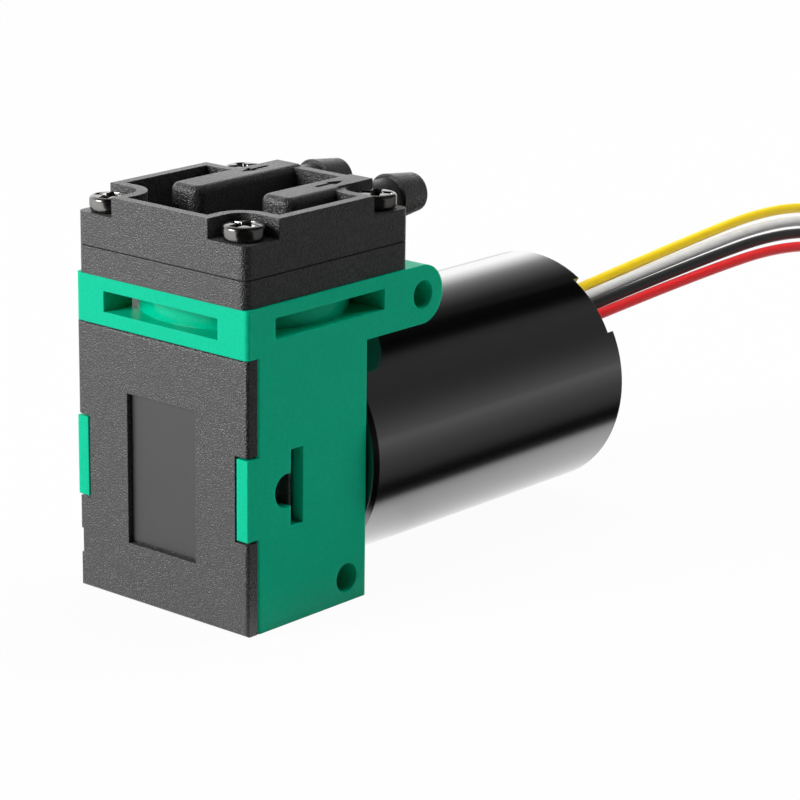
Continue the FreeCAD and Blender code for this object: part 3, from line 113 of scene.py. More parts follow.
class Graph:
    """The node tree of a material or a world, with short calls for its nodes and links."""

    def __init__(self, name: str) -> None:
        """Starts an empty material of that name."""
        self.material = bpy.data.materials.new(name)
        self.material.use_nodes = True
        self.start(self.material.node_tree, "ShaderNodeOutputMaterial")

    @classmethod
    def on(cls, tree: NodeTree, output: str) -> "Graph":
        """Starts an empty graph on a tree that is there already."""
        graph = cls.__new__(cls)
        graph.start(tree, output)
        return graph

    def start(self, tree: NodeTree, output: str) -> None:
        """Empties the tree and adds its output node."""
        self.tree = tree
        self.tree.nodes.clear()
        self.output = self.add(output)

    def add(self, kind: str, **settings: object) -> Node:
        """Adds a node.

        Args:
            kind: Blender's name of the node type.
            settings: values of the node's own properties.

        Returns:
            The new node.
        """
        node = self.tree.nodes.new(kind)
        for name, value in settings.items():
            setattr(node, name, value)
        return node

    def link(self, source: Socket, target: Socket) -> None:
        """Links two sockets."""
        self.tree.links.new(source, target)

    def shader(self, **values: object) -> Node:
        """Adds the principled shader, joined to the output.

        Args:
            values: socket values, spaces in a socket's name written as underscores.

        Returns:
            The shader node.
        """
        node = self.add("ShaderNodeBsdfPrincipled")
        for name, value in values.items():
            node.inputs[name.replace("_", " ")].default_value = value
        self.link(node.outputs["BSDF"], self.output.inputs["Surface"])
        return node

    def place(self, scale: Triple = (1, 1, 1), turn: Triple = (0, 0, 0)) -> Socket:
        """Gives object coordinates, stretched and turned.

        Args:
            scale: factor along each axis.
            turn: rotation in degrees about each axis.

        Returns:
            The vector socket.
        """
        coordinates = self.add("ShaderNodeTexCoord")
        mapping = self.add("ShaderNodeMapping")
        mapping.inputs["Scale"].default_value = scale
        mapping.inputs["Rotation"].default_value = [math.radians(a) for a in turn]
        self.link(coordinates.outputs["Object"], mapping.inputs["Vector"])
        return mapping.outputs["Vector"]

    def noise(self, vector: Socket, size: float, detail: float = 2.0, roughness: float = 0.5) -> Socket:
        """Adds noise whose lumps are about that size in metres.

        Args:
            vector: coordinates.
            size: size of the lumps.
            detail: number of finer layers.
            roughness: strength of the finer layers.

        Returns:
            The value socket.
        """
        node = self.add("ShaderNodeTexNoise")
        node.inputs["Scale"].default_value = 1 / size
        node.inputs["Detail"].default_value = detail
        node.inputs["Roughness"].default_value = roughness
        self.link(vector, node.inputs["Vector"])
        return node.outputs["Fac"]

    def spread(self, value: Socket, low: float, high: float, start: float = 0.3, end: float = 0.7) -> Socket:
        """Maps a value from the range start to end onto low to high; a noise stays within 0.3 to 0.7."""
        node = self.add("ShaderNodeMapRange")
        for name, number in (("From Min", start), ("From Max", end), ("To Min", low), ("To Max", high)):
            node.inputs[name].default_value = number
        self.link(value, node.inputs["Value"])
        return node.outputs["Result"]

    def uneven(self, value: Socket, middle: float, change: Pair) -> Socket:
        """Makes a roughness that wanders about its middle with a noise, by the change down and up."""
        return self.spread(value, middle + change[0], middle + change[1])

    def shades(self, value: Socket, colour: Colour, dark: float, light: float) -> Socket:
        """Mixes a colour's dark and light tints by a value from 0 to 1."""
        node = self.add("ShaderNodeMix", data_type="RGBA")
        node.inputs["A"].default_value = tinted(colour, dark)
        node.inputs["B"].default_value = tinted(colour, light)
        self.link(value, node.inputs["Factor"])
        return node.outputs["Result"]

    def ramp(self, value: Socket, stops: Stops) -> Socket:
        """Maps a value through straight lines between stops.

        Args:
            value: the input.
            stops: pairs of input and output, in order of the input.

        Returns:
            The value socket.
        """
        low, high = stops[0][0], stops[-1][0]
        top = max(level for _, level in stops)
        node = self.add("ShaderNodeValToRGB")
        elements = node.color_ramp.elements
        for number, (place, level) in enumerate(stops):
            share = (place - low) / (high - low)
            element = elements[number] if number in (0, 1) else elements.new(share)
            element.position = share
            element.color = (level / top, level / top, level / top, 1)
        self.link(self.spread(value, 0.0, 1.0, low, high), node.inputs["Fac"])
        return self.math("MULTIPLY", node.outputs["Color"], top)

    def math(self, operation: str, first: Socket, second: Socket | float) -> Socket:
        """Joins two values by an operation."""
        node = self.add("ShaderNodeMath", operation=operation)
        self.link(first, node.inputs[0])
        if isinstance(second, (int, float)):
            node.inputs[1].default_value = second
        else:
            self.link(second, node.inputs[1])
        return node.outputs[0]

    def bump(self, height: Socket, depth: float, rounding: float = 0.0) -> Socket:
        """Turns a height into a bumped normal, on edges that are rounded.

        Args:
            height: height from 0 to 1.
            depth: depth in metres.
            rounding: radius of the edges' rounding in metres.

        Returns:
            The normal socket.
        """
        node = self.add("ShaderNodeBump")
        node.inputs["Distance"].default_value = depth
        self.link(height, node.inputs["Height"])
        if rounding:
            round_edge = self.add("ShaderNodeBevel", samples=BEVEL_SAMPLES)
            round_edge.inputs["Radius"].default_value = rounding
            self.link(round_edge.outputs["Normal"], node.inputs["Normal"])
        return node.outputs["Normal"]


@dataclass(frozen=True)
class MouldedPlastic:
    """Injection-moulded plastic with a spark-eroded grain and slight shade differences."""

    name: str
    colour: Colour
    roughness: float = 0.5
    grain: float = 0.16 * MM
    grain_depth: float = 0.012 * MM
    glow: float = 0.0
    shade: float = 0.12
    specular: float = 0.5
    fuzz: float = 0.0
    fuzz_roughness: float = 0.35
    edge: float = 0.18 * MM
    cloud: float = 6 * MM
    uneven: Pair = (-0.04, 0.05)
    grain_range: Pair = (0.35, 0.65)
    glow_depth: float = 1.2 * MM
    glow_spread: Triple = (0.3, 1.0, 0.7)

    def make(self) -> Material:
        """Builds the material: the grain gives shade and height, wide clouds the roughness."""
        graph = Graph(self.name)
        shader = graph.shader(Subsurface_Weight=self.glow, Subsurface_Scale=self.glow_depth,
                              Subsurface_Radius=self.glow_spread, Specular_IOR_Level=self.specular,
                              Sheen_Weight=self.fuzz, Sheen_Roughness=self.fuzz_roughness)
        space = graph.place()
        fine = graph.noise(space, self.grain, 1.0)
        broad = graph.noise(space, self.cloud)
        graph.link(graph.shades(graph.spread(fine, 0.0, 1.0, *self.grain_range), self.colour,
                                1 - self.shade, 1 + self.shade), shader.inputs["Base Color"])
        graph.link(self.sheen(graph, graph.uneven(broad, self.roughness, self.uneven)),
                   shader.inputs["Roughness"])
        graph.link(graph.bump(fine, self.grain_depth, self.edge), shader.inputs["Normal"])
        return graph.material

    def sheen(self, graph: Graph, roughness: Socket) -> Socket:
        """Roughness over the piece: the same everywhere."""
        return roughness


@dataclass(frozen=True)
class HousingPlastic(MouldedPlastic):
    """The housing's plastic, which the mould's polished core leaves glossy round the diaphragm."""

    core_radius: float = 11.5 * MM
    core_low: float = 30.9 * MM
    core_fade: float = 0.1 * MM
    polish: float = 0.16

    def sheen(self, graph: Graph, roughness: Socket) -> Socket:
        """Roughness over the piece: low within the core's radius and above its lower end."""
        flat = graph.add("ShaderNodeVectorMath", operation="LENGTH")
        graph.link(graph.place((1, 1, 0)), flat.inputs[0])
        split = graph.add("ShaderNodeSeparateXYZ")
        graph.link(graph.place(), split.inputs[0])
        inside = graph.spread(flat.outputs["Value"], 1.0, 0.0,
                              self.core_radius, self.core_radius + self.core_fade)
        above = graph.spread(split.outputs["Z"], 0.0, 1.0, self.core_low - self.core_fade, self.core_low)
        mixed = graph.add("ShaderNodeMix", data_type="FLOAT")
        graph.link(graph.math("MULTIPLY", inside, above), mixed.inputs["Factor"])
        graph.link(roughness, mixed.inputs["A"])
        mixed.inputs["B"].default_value = self.polish
        return mixed.outputs["Result"]


@dataclass(frozen=True)
class GlossCoat:
    """Deep black coating on sheet metal: a dense pigment layer under clear lacquer."""

    name: str
    colour: Colour
    roughness: float = 0.11
    index: float = 2.2
    lacquer: float = 1.0
    lacquer_index: float = 1.5
    lacquer_roughness: float = 0.05
    edge: float = 0.2 * MM
    drawn: Triple = (1, 40, 1)
    ring: float = 3.0 * MM
    speck: float = 0.25 * MM
    speck_depth: float = 0.0012 * MM
    tints: Pair = (0.8, 1.3)
    uneven: Pair = (-0.03, 0.04)

    def make(self) -> Material:
        """Builds the material: specks give shade and height, drawing rings the roughness."""
        graph = Graph(self.name)
        shader = graph.shader(IOR=self.index, Coat_Weight=self.lacquer, Coat_IOR=self.lacquer_index,
                              Coat_Roughness=self.lacquer_roughness)
        rings = graph.noise(graph.place(self.drawn), self.ring)
        specks = graph.noise(graph.place(), self.speck, 3.0, 0.7)
        graph.link(graph.shades(graph.spread(specks, 0.0, 1.0), self.colour, *self.tints),
                   shader.inputs["Base Color"])
        graph.link(graph.uneven(rings, self.roughness, self.uneven), shader.inputs["Roughness"])
        graph.link(graph.bump(specks, self.speck_depth, self.edge), shader.inputs["Normal"])
        return graph.material


@dataclass(frozen=True)
class Metal:
    """Bare or plated metal with machining marks along one direction and worn patches."""

    name: str
    colour: Colour
    roughness: float = 0.3
    marks: Triple = (1, 1, 1)
    mark_size: float = 0.12 * MM
    mark_depth: float = 0.003 * MM
    worn: float = 0.15
    patch: float = 1.1 * MM
    uneven: Pair = (-0.06, 0.08)

    def make(self) -> Material:
        """Builds the material: marks give the height, worn patches shade and roughness."""
        graph = Graph(self.name)
        shader = graph.shader(Metallic=1.0)
        lines = graph.noise(graph.place(self.marks), self.mark_size, 3.0, 0.6)
        patches = graph.noise(graph.place(), self.patch, 3.0)
        graph.link(graph.shades(graph.spread(patches, 0.0, 1.0), self.colour, 1 - self.worn, 1 + self.worn),
                   shader.inputs["Base Color"])
        graph.link(graph.uneven(patches, self.roughness, self.uneven), shader.inputs["Roughness"])
        graph.link(graph.bump(lines, self.mark_depth), shader.inputs["Normal"])
        return graph.material


@dataclass(frozen=True)
class Rubber:
    """Soft rubber or wire insulation: satin, with fine extrusion or mould marks."""

    name: str
    colour: Colour
    roughness: float = 0.42
    sheen: float = 0.15
    sheen_roughness: float = 0.4
    lump: float = 0.5 * MM
    lump_depth: float = 0.006 * MM
    stretched: Triple = (1, 0.3, 1)
    tints: Pair = (0.93, 1.05)
    uneven: Pair = (-0.05, 0.06)

    def make(self) -> Material:
        """Builds the material: long lumps give shade, roughness and height."""
        graph = Graph(self.name)
        shader = graph.shader(Sheen_Weight=self.sheen, Sheen_Roughness=self.sheen_roughness)
        lumps = graph.noise(graph.place(self.stretched), self.lump, 3.0)
        graph.link(graph.shades(graph.spread(lumps, 0.0, 1.0), self.colour, *self.tints),
                   shader.inputs["Base Color"])
        graph.link(graph.uneven(lumps, self.roughness, self.uneven), shader.inputs["Roughness"])
        graph.link(graph.bump(lumps, self.lump_depth), shader.inputs["Normal"])
        return graph.material


@dataclass(frozen=True)
class Layered:
    """Material with even lines across one axis, such as stacked sheets or wound wire."""

    name: str
    colour: Colour
    pitch: float
    axis: str
    metallic: float = 1.0
    roughness: float = 0.35
    groove_roughness: float = 0.1
    depth: float = 0.02 * MM
    distortion: float = 0.3
    tints: Pair = (0.55, 1.1)

    def make(self) -> Material:
        """Builds the material: a wave along the axis gives shade, roughness and height."""
        graph = Graph(self.name)
        shader = graph.shader(Metallic=self.metallic)
        wave = graph.add("ShaderNodeTexWave", bands_direction=self.axis)
        wave.inputs["Scale"].default_value = WAVE_PERIOD / self.pitch
        wave.inputs["Distortion"].default_value = self.distortion
        graph.link(graph.place(), wave.inputs["Vector"])
        height = wave.outputs["Fac"]
        graph.link(graph.shades(height, self.colour, *self.tints), shader.inputs["Base Color"])
        graph.link(graph.spread(height, self.roughness + self.groove_roughness, self.roughness, 0.0, 1.0),
                   shader.inputs["Roughness"])
        graph.link(graph.bump(height, self.depth), shader.inputs["Normal"])
        return graph.material


@dataclass(frozen=True)
class BoardMask:
    """Solder mask with faint copper tracks under it."""

    name: str
    colour: Colour
    roughness: float = 0.28
    tracks: float = 260
    track_gap: float = 0.03
    track_depth: float = 0.02 * MM
    tints: Triple = (1.0, 1.35, 0.6)

    def make(self) -> Material:
        """Builds the material: bricks stand for the tracks and their joints for the gaps."""
        graph = Graph(self.name)
        shader = graph.shader(Roughness=self.roughness)
        brick = graph.add("ShaderNodeTexBrick")
        brick.inputs["Scale"].default_value = self.tracks
        brick.inputs["Mortar Size"].default_value = self.track_gap
        for name, tint in zip(("Color1", "Color2", "Mortar"), self.tints):
            brick.inputs[name].default_value = tinted(self.colour, tint)
        graph.link(graph.place(turn=(90, 0, 0)), brick.inputs["Vector"])
        graph.link(brick.outputs["Color"], shader.inputs["Base Color"])
        graph.link(graph.bump(brick.outputs["Fac"], self.track_depth), shader.inputs["Normal"])
        return graph.material


class Finish(Enum):
    """Every finish on the pump, each made once."""

    GREEN_PLASTIC = HousingPlastic("green_plastic", Colour.GREEN, roughness=0.36, grain=0.35 * MM,
                                   grain_depth=0.008 * MM, glow=0.25, shade=0.04, specular=0.08)
    BLACK_PLASTIC = MouldedPlastic("black_plastic", Colour.BLACK_PLASTIC, roughness=0.3, grain=0.17 * MM,
                                   grain_depth=0.12 * MM, shade=0.6, specular=0.45, fuzz=0.06)
    BARE_LABEL = MouldedPlastic("bare_label", Colour.LABEL, roughness=0.4, grain=0.6 * MM,
                                grain_depth=0.002 * MM, shade=0.03)
    ROD_PLASTIC = MouldedPlastic("rod_plastic", Colour.ROD, roughness=0.45, grain=0.5 * MM,
                                 grain_depth=0.01 * MM, glow=0.1, shade=0.05)
    INSULATOR = MouldedPlastic("white_insulator", Colour.INSULATOR, roughness=0.45, grain=0.4 * MM,
                               grain_depth=0.008 * MM, glow=0.1, shade=0.04)
    CHIP = MouldedPlastic("component_black", Colour.CHIP, roughness=0.4, grain=0.1 * MM,
                          grain_depth=0.01 * MM, shade=0.2)
    MOTOR_BLACK = GlossCoat("motor_black", Colour.MOTOR_BLACK)
    SCREW_STEEL = Metal("screw_steel", Colour.SCREW_NICKEL, roughness=0.18)
    SHAFT_STEEL = Metal("shaft_steel", Colour.STEEL, 0.25, marks=(1, 30, 1), mark_size=1.5 * MM)
    BEARING_STEEL = Metal("bearing_steel", Colour.BEARING, 0.15, marks=(1, 30, 1), mark_size=1.2 * MM)
    CRANK_METAL = Metal("crank_metal", Colour.CRANK, 0.42, mark_size=0.2 * MM, mark_depth=0.01 * MM)
    MAGNET = Metal("magnet_grey", Colour.MAGNET, 0.5, mark_size=0.1 * MM, mark_depth=0.008 * MM)
    TINNED = Metal("tinned_copper", Colour.TINNED, roughness=0.3)
    LAMINATIONS = Layered("laminations", Colour.LAMINATION, pitch=0.35 * MM, axis="Y")
    COPPER_WIRE = Layered("copper_wire", Colour.COPPER, pitch=0.25 * MM, axis="Y", roughness=0.3,
                          depth=0.05 * MM)
    BOARD = BoardMask("board_green", Colour.BOARD)
    RUBBER = Rubber("black_rubber", Colour.RUBBER, roughness=0.6, sheen=0.2, lump=0.2 * MM)
    LEAD_YELLOW = Rubber("lead_yellow", Colour.YELLOW, roughness=0.38)
    LEAD_WHITE = Rubber("lead_white", Colour.WHITE, roughness=0.38)
    LEAD_BLACK = Rubber("lead_black", Colour.BLACK, roughness=0.38)
    LEAD_RED = Rubber("lead_red", Colour.RED, roughness=0.38)

    def material(self) -> Material:
        """The finish's material, made at its first use."""
        if self not in MADE:
            MADE[self] = self.value.make()
        return MADE[self]


MADE: dict[Finish, Material] = {}


def new_object(name: str, data: bpy.types.ID) -> Object:
    """Puts a new object with that data into the scene."""
    made = bpy.data.objects.new(name, data)
    bpy.context.scene.collection.objects.link(made)
    return made


def dress(piece: Object, finish: Finish) -> None:
    """Gives every material slot of a piece one finish."""
    piece.data.materials.clear()
    piece.data.materials.append(finish.material())


def node_body(node: str) -> str:
    """The body that a CAD node belongs to."""
    return frame["nodes"][node]["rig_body"]


def add_piece(name: str, mesh: Mesh, finish: Finish, body: str,
              stands_for: tuple[str, ...] = ()) -> Object:
    """Puts a finished mesh into the scene.

    Args:
        name: the piece's name.
        mesh: its mesh, in metres in the row frame.
        finish: its finish.
        body: the body that it rides on.
        stands_for: CAD nodes that it is shown in place of.

    Returns:
        The new object.
    """
    piece = new_object(name, mesh)
    dress(piece, finish)
    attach(piece, body)
    if stands_for:
        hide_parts(*stands_for)
    log.info("%s: %d faces on %s", name, len(mesh.polygons), body)
    return piece


def grid_mesh(name: str, points: np.ndarray, around: bool = True) -> Mesh:
    """Makes a mesh from a grid of points.

    Args:
        name: the mesh's name.
        points: array of rows, columns and x, y, z.
        around: whether the last column meets the first.

    Returns:
        The mesh, smooth shaded, with outward faces where rows go along and columns go round.
    """
    rows, columns, _ = points.shape
    index = np.arange(rows * columns).reshape(rows, columns)
    if around:
        index = np.concatenate([index, index[:, :1]], axis=1)
    faces = np.stack([index[:-1, :-1], index[:-1, 1:], index[1:, 1:], index[1:, :-1]], axis=-1)
    mesh = bpy.data.meshes.new(name)
    mesh.from_pydata(points.reshape(-1, 3).tolist(), [], faces.reshape(-1, 4).tolist())
    clean = bmesh.new()
    clean.from_mesh(mesh)
    bmesh.ops.remove_doubles(clean, verts=clean.verts, dist=1e-7)
    bmesh.ops.recalc_face_normals(clean, faces=clean.faces)
    clean.to_mesh(mesh)
    clean.free()
    mesh.shade_smooth()
    return mesh


def join_meshes(name: str, meshes: list[Mesh]) -> Mesh:
    """Joins meshes into one mesh of that name."""
    work = bmesh.new()
    for mesh in meshes:
        work.from_mesh(mesh)
    joined = bpy.data.meshes.new(name)
    work.to_mesh(joined)
    work.free()
    joined.shade_smooth()
    return joined


def surface_normals(points: np.ndarray, corners: np.ndarray, sharp: float) -> np.ndarray:
    """Works out the normal at every corner of every triangle.

    A corner's normal is the mean of the normals of the triangles that meet at its point and
    turn from it by less than the sharp angle. Each counts with the area of the whole flat face
    that it is part of, so flat faces stay flat and roundings run smoothly into them.

    Args:
        points: the mesh's points.
        corners: three point numbers for each triangle.
        sharp: angle in degrees from which an edge is sharp.

    Returns:
        Array of triangles, corners and x, y, z.
    """
    place = points[corners]
    across = np.cross(place[:, 1] - place[:, 0], place[:, 2] - place[:, 0])
    area = np.linalg.norm(across, axis=1) + 1e-15
    normal = across / area[:, None]
    height = (normal * place[:, 0]).sum(axis=1)
    plane = np.round(np.column_stack([normal * SAME_TURN, height / SAME_HEIGHT])).astype(np.int64)
    face = np.unique(plane, axis=0, return_inverse=True)[1].ravel()
    weight = np.bincount(face, weights=area)[face]
    point = corners.ravel()
    order = np.argsort(point, kind="stable")
    count = np.bincount(point, minlength=len(points))
    first = np.concatenate([[0], np.cumsum(count)[:-1]])
    times = count[point]
    one = np.repeat(np.arange(len(point)), times)
    step = np.arange(len(one)) - np.repeat(np.cumsum(times) - times, times)
    other = order[first[point[one]] + step]
    near = (normal[one // 3] * normal[other // 3]).sum(axis=1) > math.cos(math.radians(sharp))
    share = (weight[other // 3] * near)[:, None] * normal[other // 3]
    sums = [np.bincount(one, weights=share[:, axis], minlength=len(point)) for axis in range(3)]
    total = np.stack(sums, axis=1)
    return (total / np.linalg.norm(total, axis=1)[:, None]).reshape(-1, 3, 3)


def clean_copy(node: str, name: str, finish: Finish, sharp: float = 32.0) -> Object:
    """Shows a CAD node with its triangles joined and exact flat and round surfaces.

    Args:
        node: the CAD node.
        name: the new piece's name.
        finish: its finish.
        sharp: angle in degrees from which an edge is sharp.

    Returns:
        The new piece.
    """
    mesh = frame["nodes"][node].data.copy()
    mesh.name = name
    work = bmesh.new()
    work.from_mesh(mesh)
    bmesh.ops.remove_doubles(work, verts=work.verts, dist=2e-6)
    bmesh.ops.triangulate(work, faces=work.faces)
    work.to_mesh(mesh)
    work.free()
    mesh.shade_smooth()
    points = np.empty(len(mesh.vertices) * 3)
    mesh.vertices.foreach_get("co", points)
    corners = np.empty(len(mesh.loops), dtype=np.int64)
    mesh.loops.foreach_get("vertex_index", corners)
    normals = surface_normals(points.reshape(-1, 3), corners.reshape(-1, 3), sharp)
    mesh.normals_split_custom_set(normals.reshape(-1, 3).tolist())
    return add_piece(name, mesh, finish, node_body(node), (node,))


class PumpHead:
    """Crankcase, front cover and plates."""

    def build(self) -> None:
        """Shows the head's mouldings."""
        clean_copy("compressor_housing", "crankcase_moulding", Finish.GREEN_PLASTIC)
        clean_copy("front_cover", "front_cover_moulding", Finish.BLACK_PLASTIC)
        clean_copy("intermediate_plate", "plate_moulding", Finish.BLACK_PLASTIC)
        clean_copy("head_cover", "head_cover_moulding", Finish.BLACK_PLASTIC)


@dataclass
class HeadScrews:
    """Four pan-head screws with a cross recess."""

    head_radius: float = 2.25 * MM
    head_height: float = 1.7 * MM
    waist: float = 0.75 * MM
    foot: float = 0.86
    crown_degree: float = 7
    cross_half: float = 1.75 * MM
    cross_web: float = 0.46 * MM
    cross_wall: float = 0.09 * MM
    cross_depth: float = 1.15 * MM
    cross_taper: float = 0.4
    hub_radius: float = 0.85 * MM
    hub_wall: float = 0.2 * MM
    hub_share: float = 0.9
    shank_radius: float = 1.0 * MM
    pitch: float = 0.8 * MM
    thread_depth: float = 0.16 * MM
    fade_head: float = 1.2 * MM
    fade_tip: float = 0.8 * MM
    pole: float = 0.001 * MM
    turns: tuple[float, ...] = (0.35, 1.1, 0.05, 0.6)
    across: int = 60
    side_rows: int = 6
    shank_rows: int = 44
    around: int = 180

    def recess(self, radius: np.ndarray, angle: np.ndarray) -> np.ndarray:
        """Depth of the cross recess: two crossed slots that run out to their ends, and a round hub."""
        x, y = np.abs(radius * np.cos(angle)), np.abs(radius * np.sin(angle))
        long_side, short_side = np.maximum(x, y), np.minimum(x, y)
        inside = np.clip((self.cross_web - short_side) / self.cross_wall + 0.5, 0, 1)
        taper = np.clip((self.cross_half - long_side) / (self.cross_taper * self.cross_half), 0, 1) ** 0.8
        middle = np.clip((self.hub_radius - radius) / self.hub_wall, 0, 1)
        return self.cross_depth * np.maximum(inside * taper, middle * self.hub_share)

    def surface(self, length: float, turned: float) -> np.ndarray:
        """Grid of one screw standing on its seat at the origin.

        The head is a drum: a superellipse of seventh degree from the crown's middle out to the
        widest place at the waist, and a quarter ellipse from there in to the foot. The shank's
        radius is a triangle wave of the thread's phase, faded out at both ends.

        Args:
            length: shank length under the head.
            turned: how far the screw is turned, in radians.

        Returns:
            Array of rows from the crown's middle to the tip's middle, and columns round it.
        """
        angle = np.linspace(0, 2 * np.pi, self.around, endpoint=False)[None, :]
        share = np.linspace(0.0, 1.0, self.across)[:, None]
        crown_r = self.head_radius * np.sqrt(np.sin(share * np.pi / 2)) + self.pole
        crown_r = np.minimum(crown_r * np.ones_like(angle), self.head_radius)
        out = np.clip(crown_r / self.head_radius, 0, 1)
        rise = (1 - out ** self.crown_degree) ** (1 / self.crown_degree)
        crown_z = self.waist + (self.head_height - self.waist) * rise - self.recess(crown_r, angle - turned)
        down = np.linspace(0.15, 1.0, self.side_rows)[:, None] * np.pi / 2
        side_r = self.head_radius * (self.foot + (1 - self.foot) * np.cos(down)) * np.ones_like(angle)
        side_z = self.waist * (1 - np.sin(down)) * np.ones_like(angle)
        steps = np.linspace(0, -length, self.shank_rows)[:, None]
        phase = steps / self.pitch + angle / (2 * np.pi)
        ridge = np.abs((phase % 1.0) * 2 - 1)
        fade = np.clip(-steps / self.fade_head, 0, 1) * np.clip((steps + length) / self.fade_tip, 0, 1)
        shank_r = self.shank_radius - self.thread_depth * ridge * fade
        shank_z = steps * np.ones_like(angle)
        tip_r = np.full((1, self.around), self.pole)
        tip_z = np.full((1, self.around), -length)
        all_r = np.concatenate([crown_r, side_r, shank_r, tip_r])
        all_z = np.concatenate([crown_z, side_z, shank_z, tip_z])
        all_a = angle * np.ones_like(all_r)
        return np.stack([all_r * np.cos(all_a), all_r * np.sin(all_a), all_z], axis=-1)

    def build(self) -> None:
        """Places the four screws where the CAD screws stand, each turned its own way."""
        low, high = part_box("head_screws")
        seat = high.z - self.head_height
        places = [(x, y, seat) for x in (low.x + self.head_radius, high.x - self.head_radius)
                  for y in (low.y + self.head_radius, high.y - self.head_radius)]
        meshes = [grid_mesh("head_screw", self.surface(seat - low.z, turned) + np.array(place))
                  for turned, place in zip(self.turns, places)]
        joined = join_meshes("head_screws_turned", meshes)
        add_piece(joined.name, joined, Finish.SCREW_STEEL, node_body("head_screws"), ("head_screws",))


@dataclass
class Diaphragm:
    """Moulded rubber diaphragm in two pieces, parted where its crown meets the rolled part.

    The crown holds the insert and moves with the rod. The roll, the flat rim and the bead
    stay clamped between the housing and the plate. The web beside the crown is thin enough
    for the crown to pass below it when the rod stands aside.
    """

    rim_top: float = 35.8 * MM
    rim_low: float = 35.15 * MM
    rim_radius: float = 10.85 * MM
    bead_low: float = 34.8 * MM
    bead_inside: float = 10.05 * MM
    bead_outside: float = 10.55 * MM
    opening_radius: float = 9.2 * MM
    roll_outside: float = 7.7825 * MM
    roll_inside: float = 6.5675 * MM
    roll_top: float = 35.05 * MM
    roll_low: float = 34.45 * MM
    web_low: float = 35.2 * MM
    crown_radius: float = 5.15 * MM
    cup_radius: float = 4.25 * MM
    cup_top: float = 35.65 * MM
    cup_low: float = 34.65 * MM
    crown_top: float = 36.25 * MM
    edge: float = 0.05 * MM
    around: int = 120

    def crown(self) -> np.ndarray:
        """Returns the crown's outline as rows of radius and height, from axis to axis."""
        return np.array([
            (0, self.cup_top), (self.cup_radius, self.cup_top), (self.cup_radius, self.cup_low),
            (self.crown_radius, self.cup_low), (self.crown_radius, self.rim_top),
            (self.cup_radius, self.crown_top), (0, self.crown_top)])

    def rim(self) -> np.ndarray:
        """Returns the closed outline of roll, rim and bead as rows of radius and height."""
        return np.array([
            (self.crown_radius, self.web_low), (self.roll_inside, self.roll_low),
            (self.roll_outside, self.roll_low), (self.opening_radius, self.rim_low),
            (self.bead_inside, self.rim_low), (self.bead_inside, self.bead_low),
            (self.bead_outside, self.bead_low), (self.bead_outside, self.rim_low),
            (self.rim_radius, self.rim_low), (self.rim_radius, self.rim_top),
            (self.opening_radius, self.rim_top), (self.roll_outside, self.roll_top),
            (self.roll_inside, self.roll_top), (self.crown_radius, self.rim_top)])

    def turned(self, name: str, outline: np.ndarray, closed: bool) -> Mesh:
        """Turns an outline round the head's axis, with every corner taken off by the edge.

        Args:
            name: the mesh's name.
            outline: rows of radius and height.
            closed: whether the last corner meets the first; otherwise both ends stay as they are.

        Returns:
            The turned mesh.
        """
        beside = np.stack([np.roll(outline, 1, axis=0), np.roll(outline, -1, axis=0)], axis=1)
        steps = beside - outline[:, None]
        length = np.maximum(np.linalg.norm(steps, axis=2, keepdims=True), self.edge)
        rows = (outline[:, None] + steps * self.edge / length).reshape(-1, 2)
        if closed:
            rows = np.vstack([rows, rows[:1]])
        else:
            rows = np.vstack([outline[:1], rows[2:-2], outline[-1:]])
        angle = np.linspace(0, 2 * np.pi, self.around, endpoint=False)
        radius, height = rows[:, :1], rows[:, 1:]
        return grid_mesh(name, np.stack(np.broadcast_arrays(
            radius * np.cos(angle), radius * np.sin(angle), height), axis=-1))

    def build(self) -> None:
        """Makes both pieces."""
        add_piece("diaphragm_rim", self.turned("diaphragm_rim", self.rim(), True), Finish.RUBBER,
                  node_body("diaphragm"), ("diaphragm",))
        add_piece("diaphragm_crown", self.turned("diaphragm_crown", self.crown(), False), Finish.RUBBER,
                  node_body("connecting_rod"))


class Motor:
    """Coated can with its end cap."""

    def build(self) -> None:
        """Shows the can, the cap and the grommet."""
        clean_copy("motor_can", "motor_can_drawn", Finish.MOTOR_BLACK)
        clean_copy("motor_rear_cap", "motor_cap_pressed", Finish.MOTOR_BLACK)
        clean_copy("lead_grommet", "grommet_moulding", Finish.RUBBER)


@dataclass(frozen=True)
class Lead:
    """One flying lead: its colour, length, and route from its exit, in millimetres."""

    colour: str
    finish: Finish
    length: float
    steps: float
    aloft: tuple[Triple, ...]
    laid: Stops


LEADS = (
    Lead("yellow", Finish.LEAD_YELLOW, 104.3 * MM, 1.5,
         ((0.1, 20.0, 2.0), (0.1, 43.0, 3.7), (-0.2, 60.0, 0.0), (-0.6, 68.5, -15.0)),
         ((-1.0, 79.0), (-1.6, 93.0))),
    Lead("white", Finish.LEAD_WHITE, 100.8 * MM, 0.5,
         ((0.1, 20.0, 1.75), (0.15, 43.0, 3.0), (0.15, 59.4, -0.8), (0.3, 67.4, -15.0)),
         ((0.6, 77.2), (1.0, 90.2))),
    Lead("black", Finish.LEAD_BLACK, 99.7 * MM, -0.5,
         ((0.2, 20.0, 1.65), (0.45, 42.5, 2.7), (1.0, 58.6, -1.4), (1.8, 66.6, -14.8)),
         ((2.6, 77.0), (3.7, 90.0))),
    Lead("red", Finish.LEAD_RED, 95.7 * MM, -1.5,
         ((0.25, 20.0, 1.55), (0.7, 42.0, 2.3), (1.9, 57.6, -2.0), (3.3, 65.2, -14.0)),
         ((4.7, 74.6), (6.9, 86.4))),
)


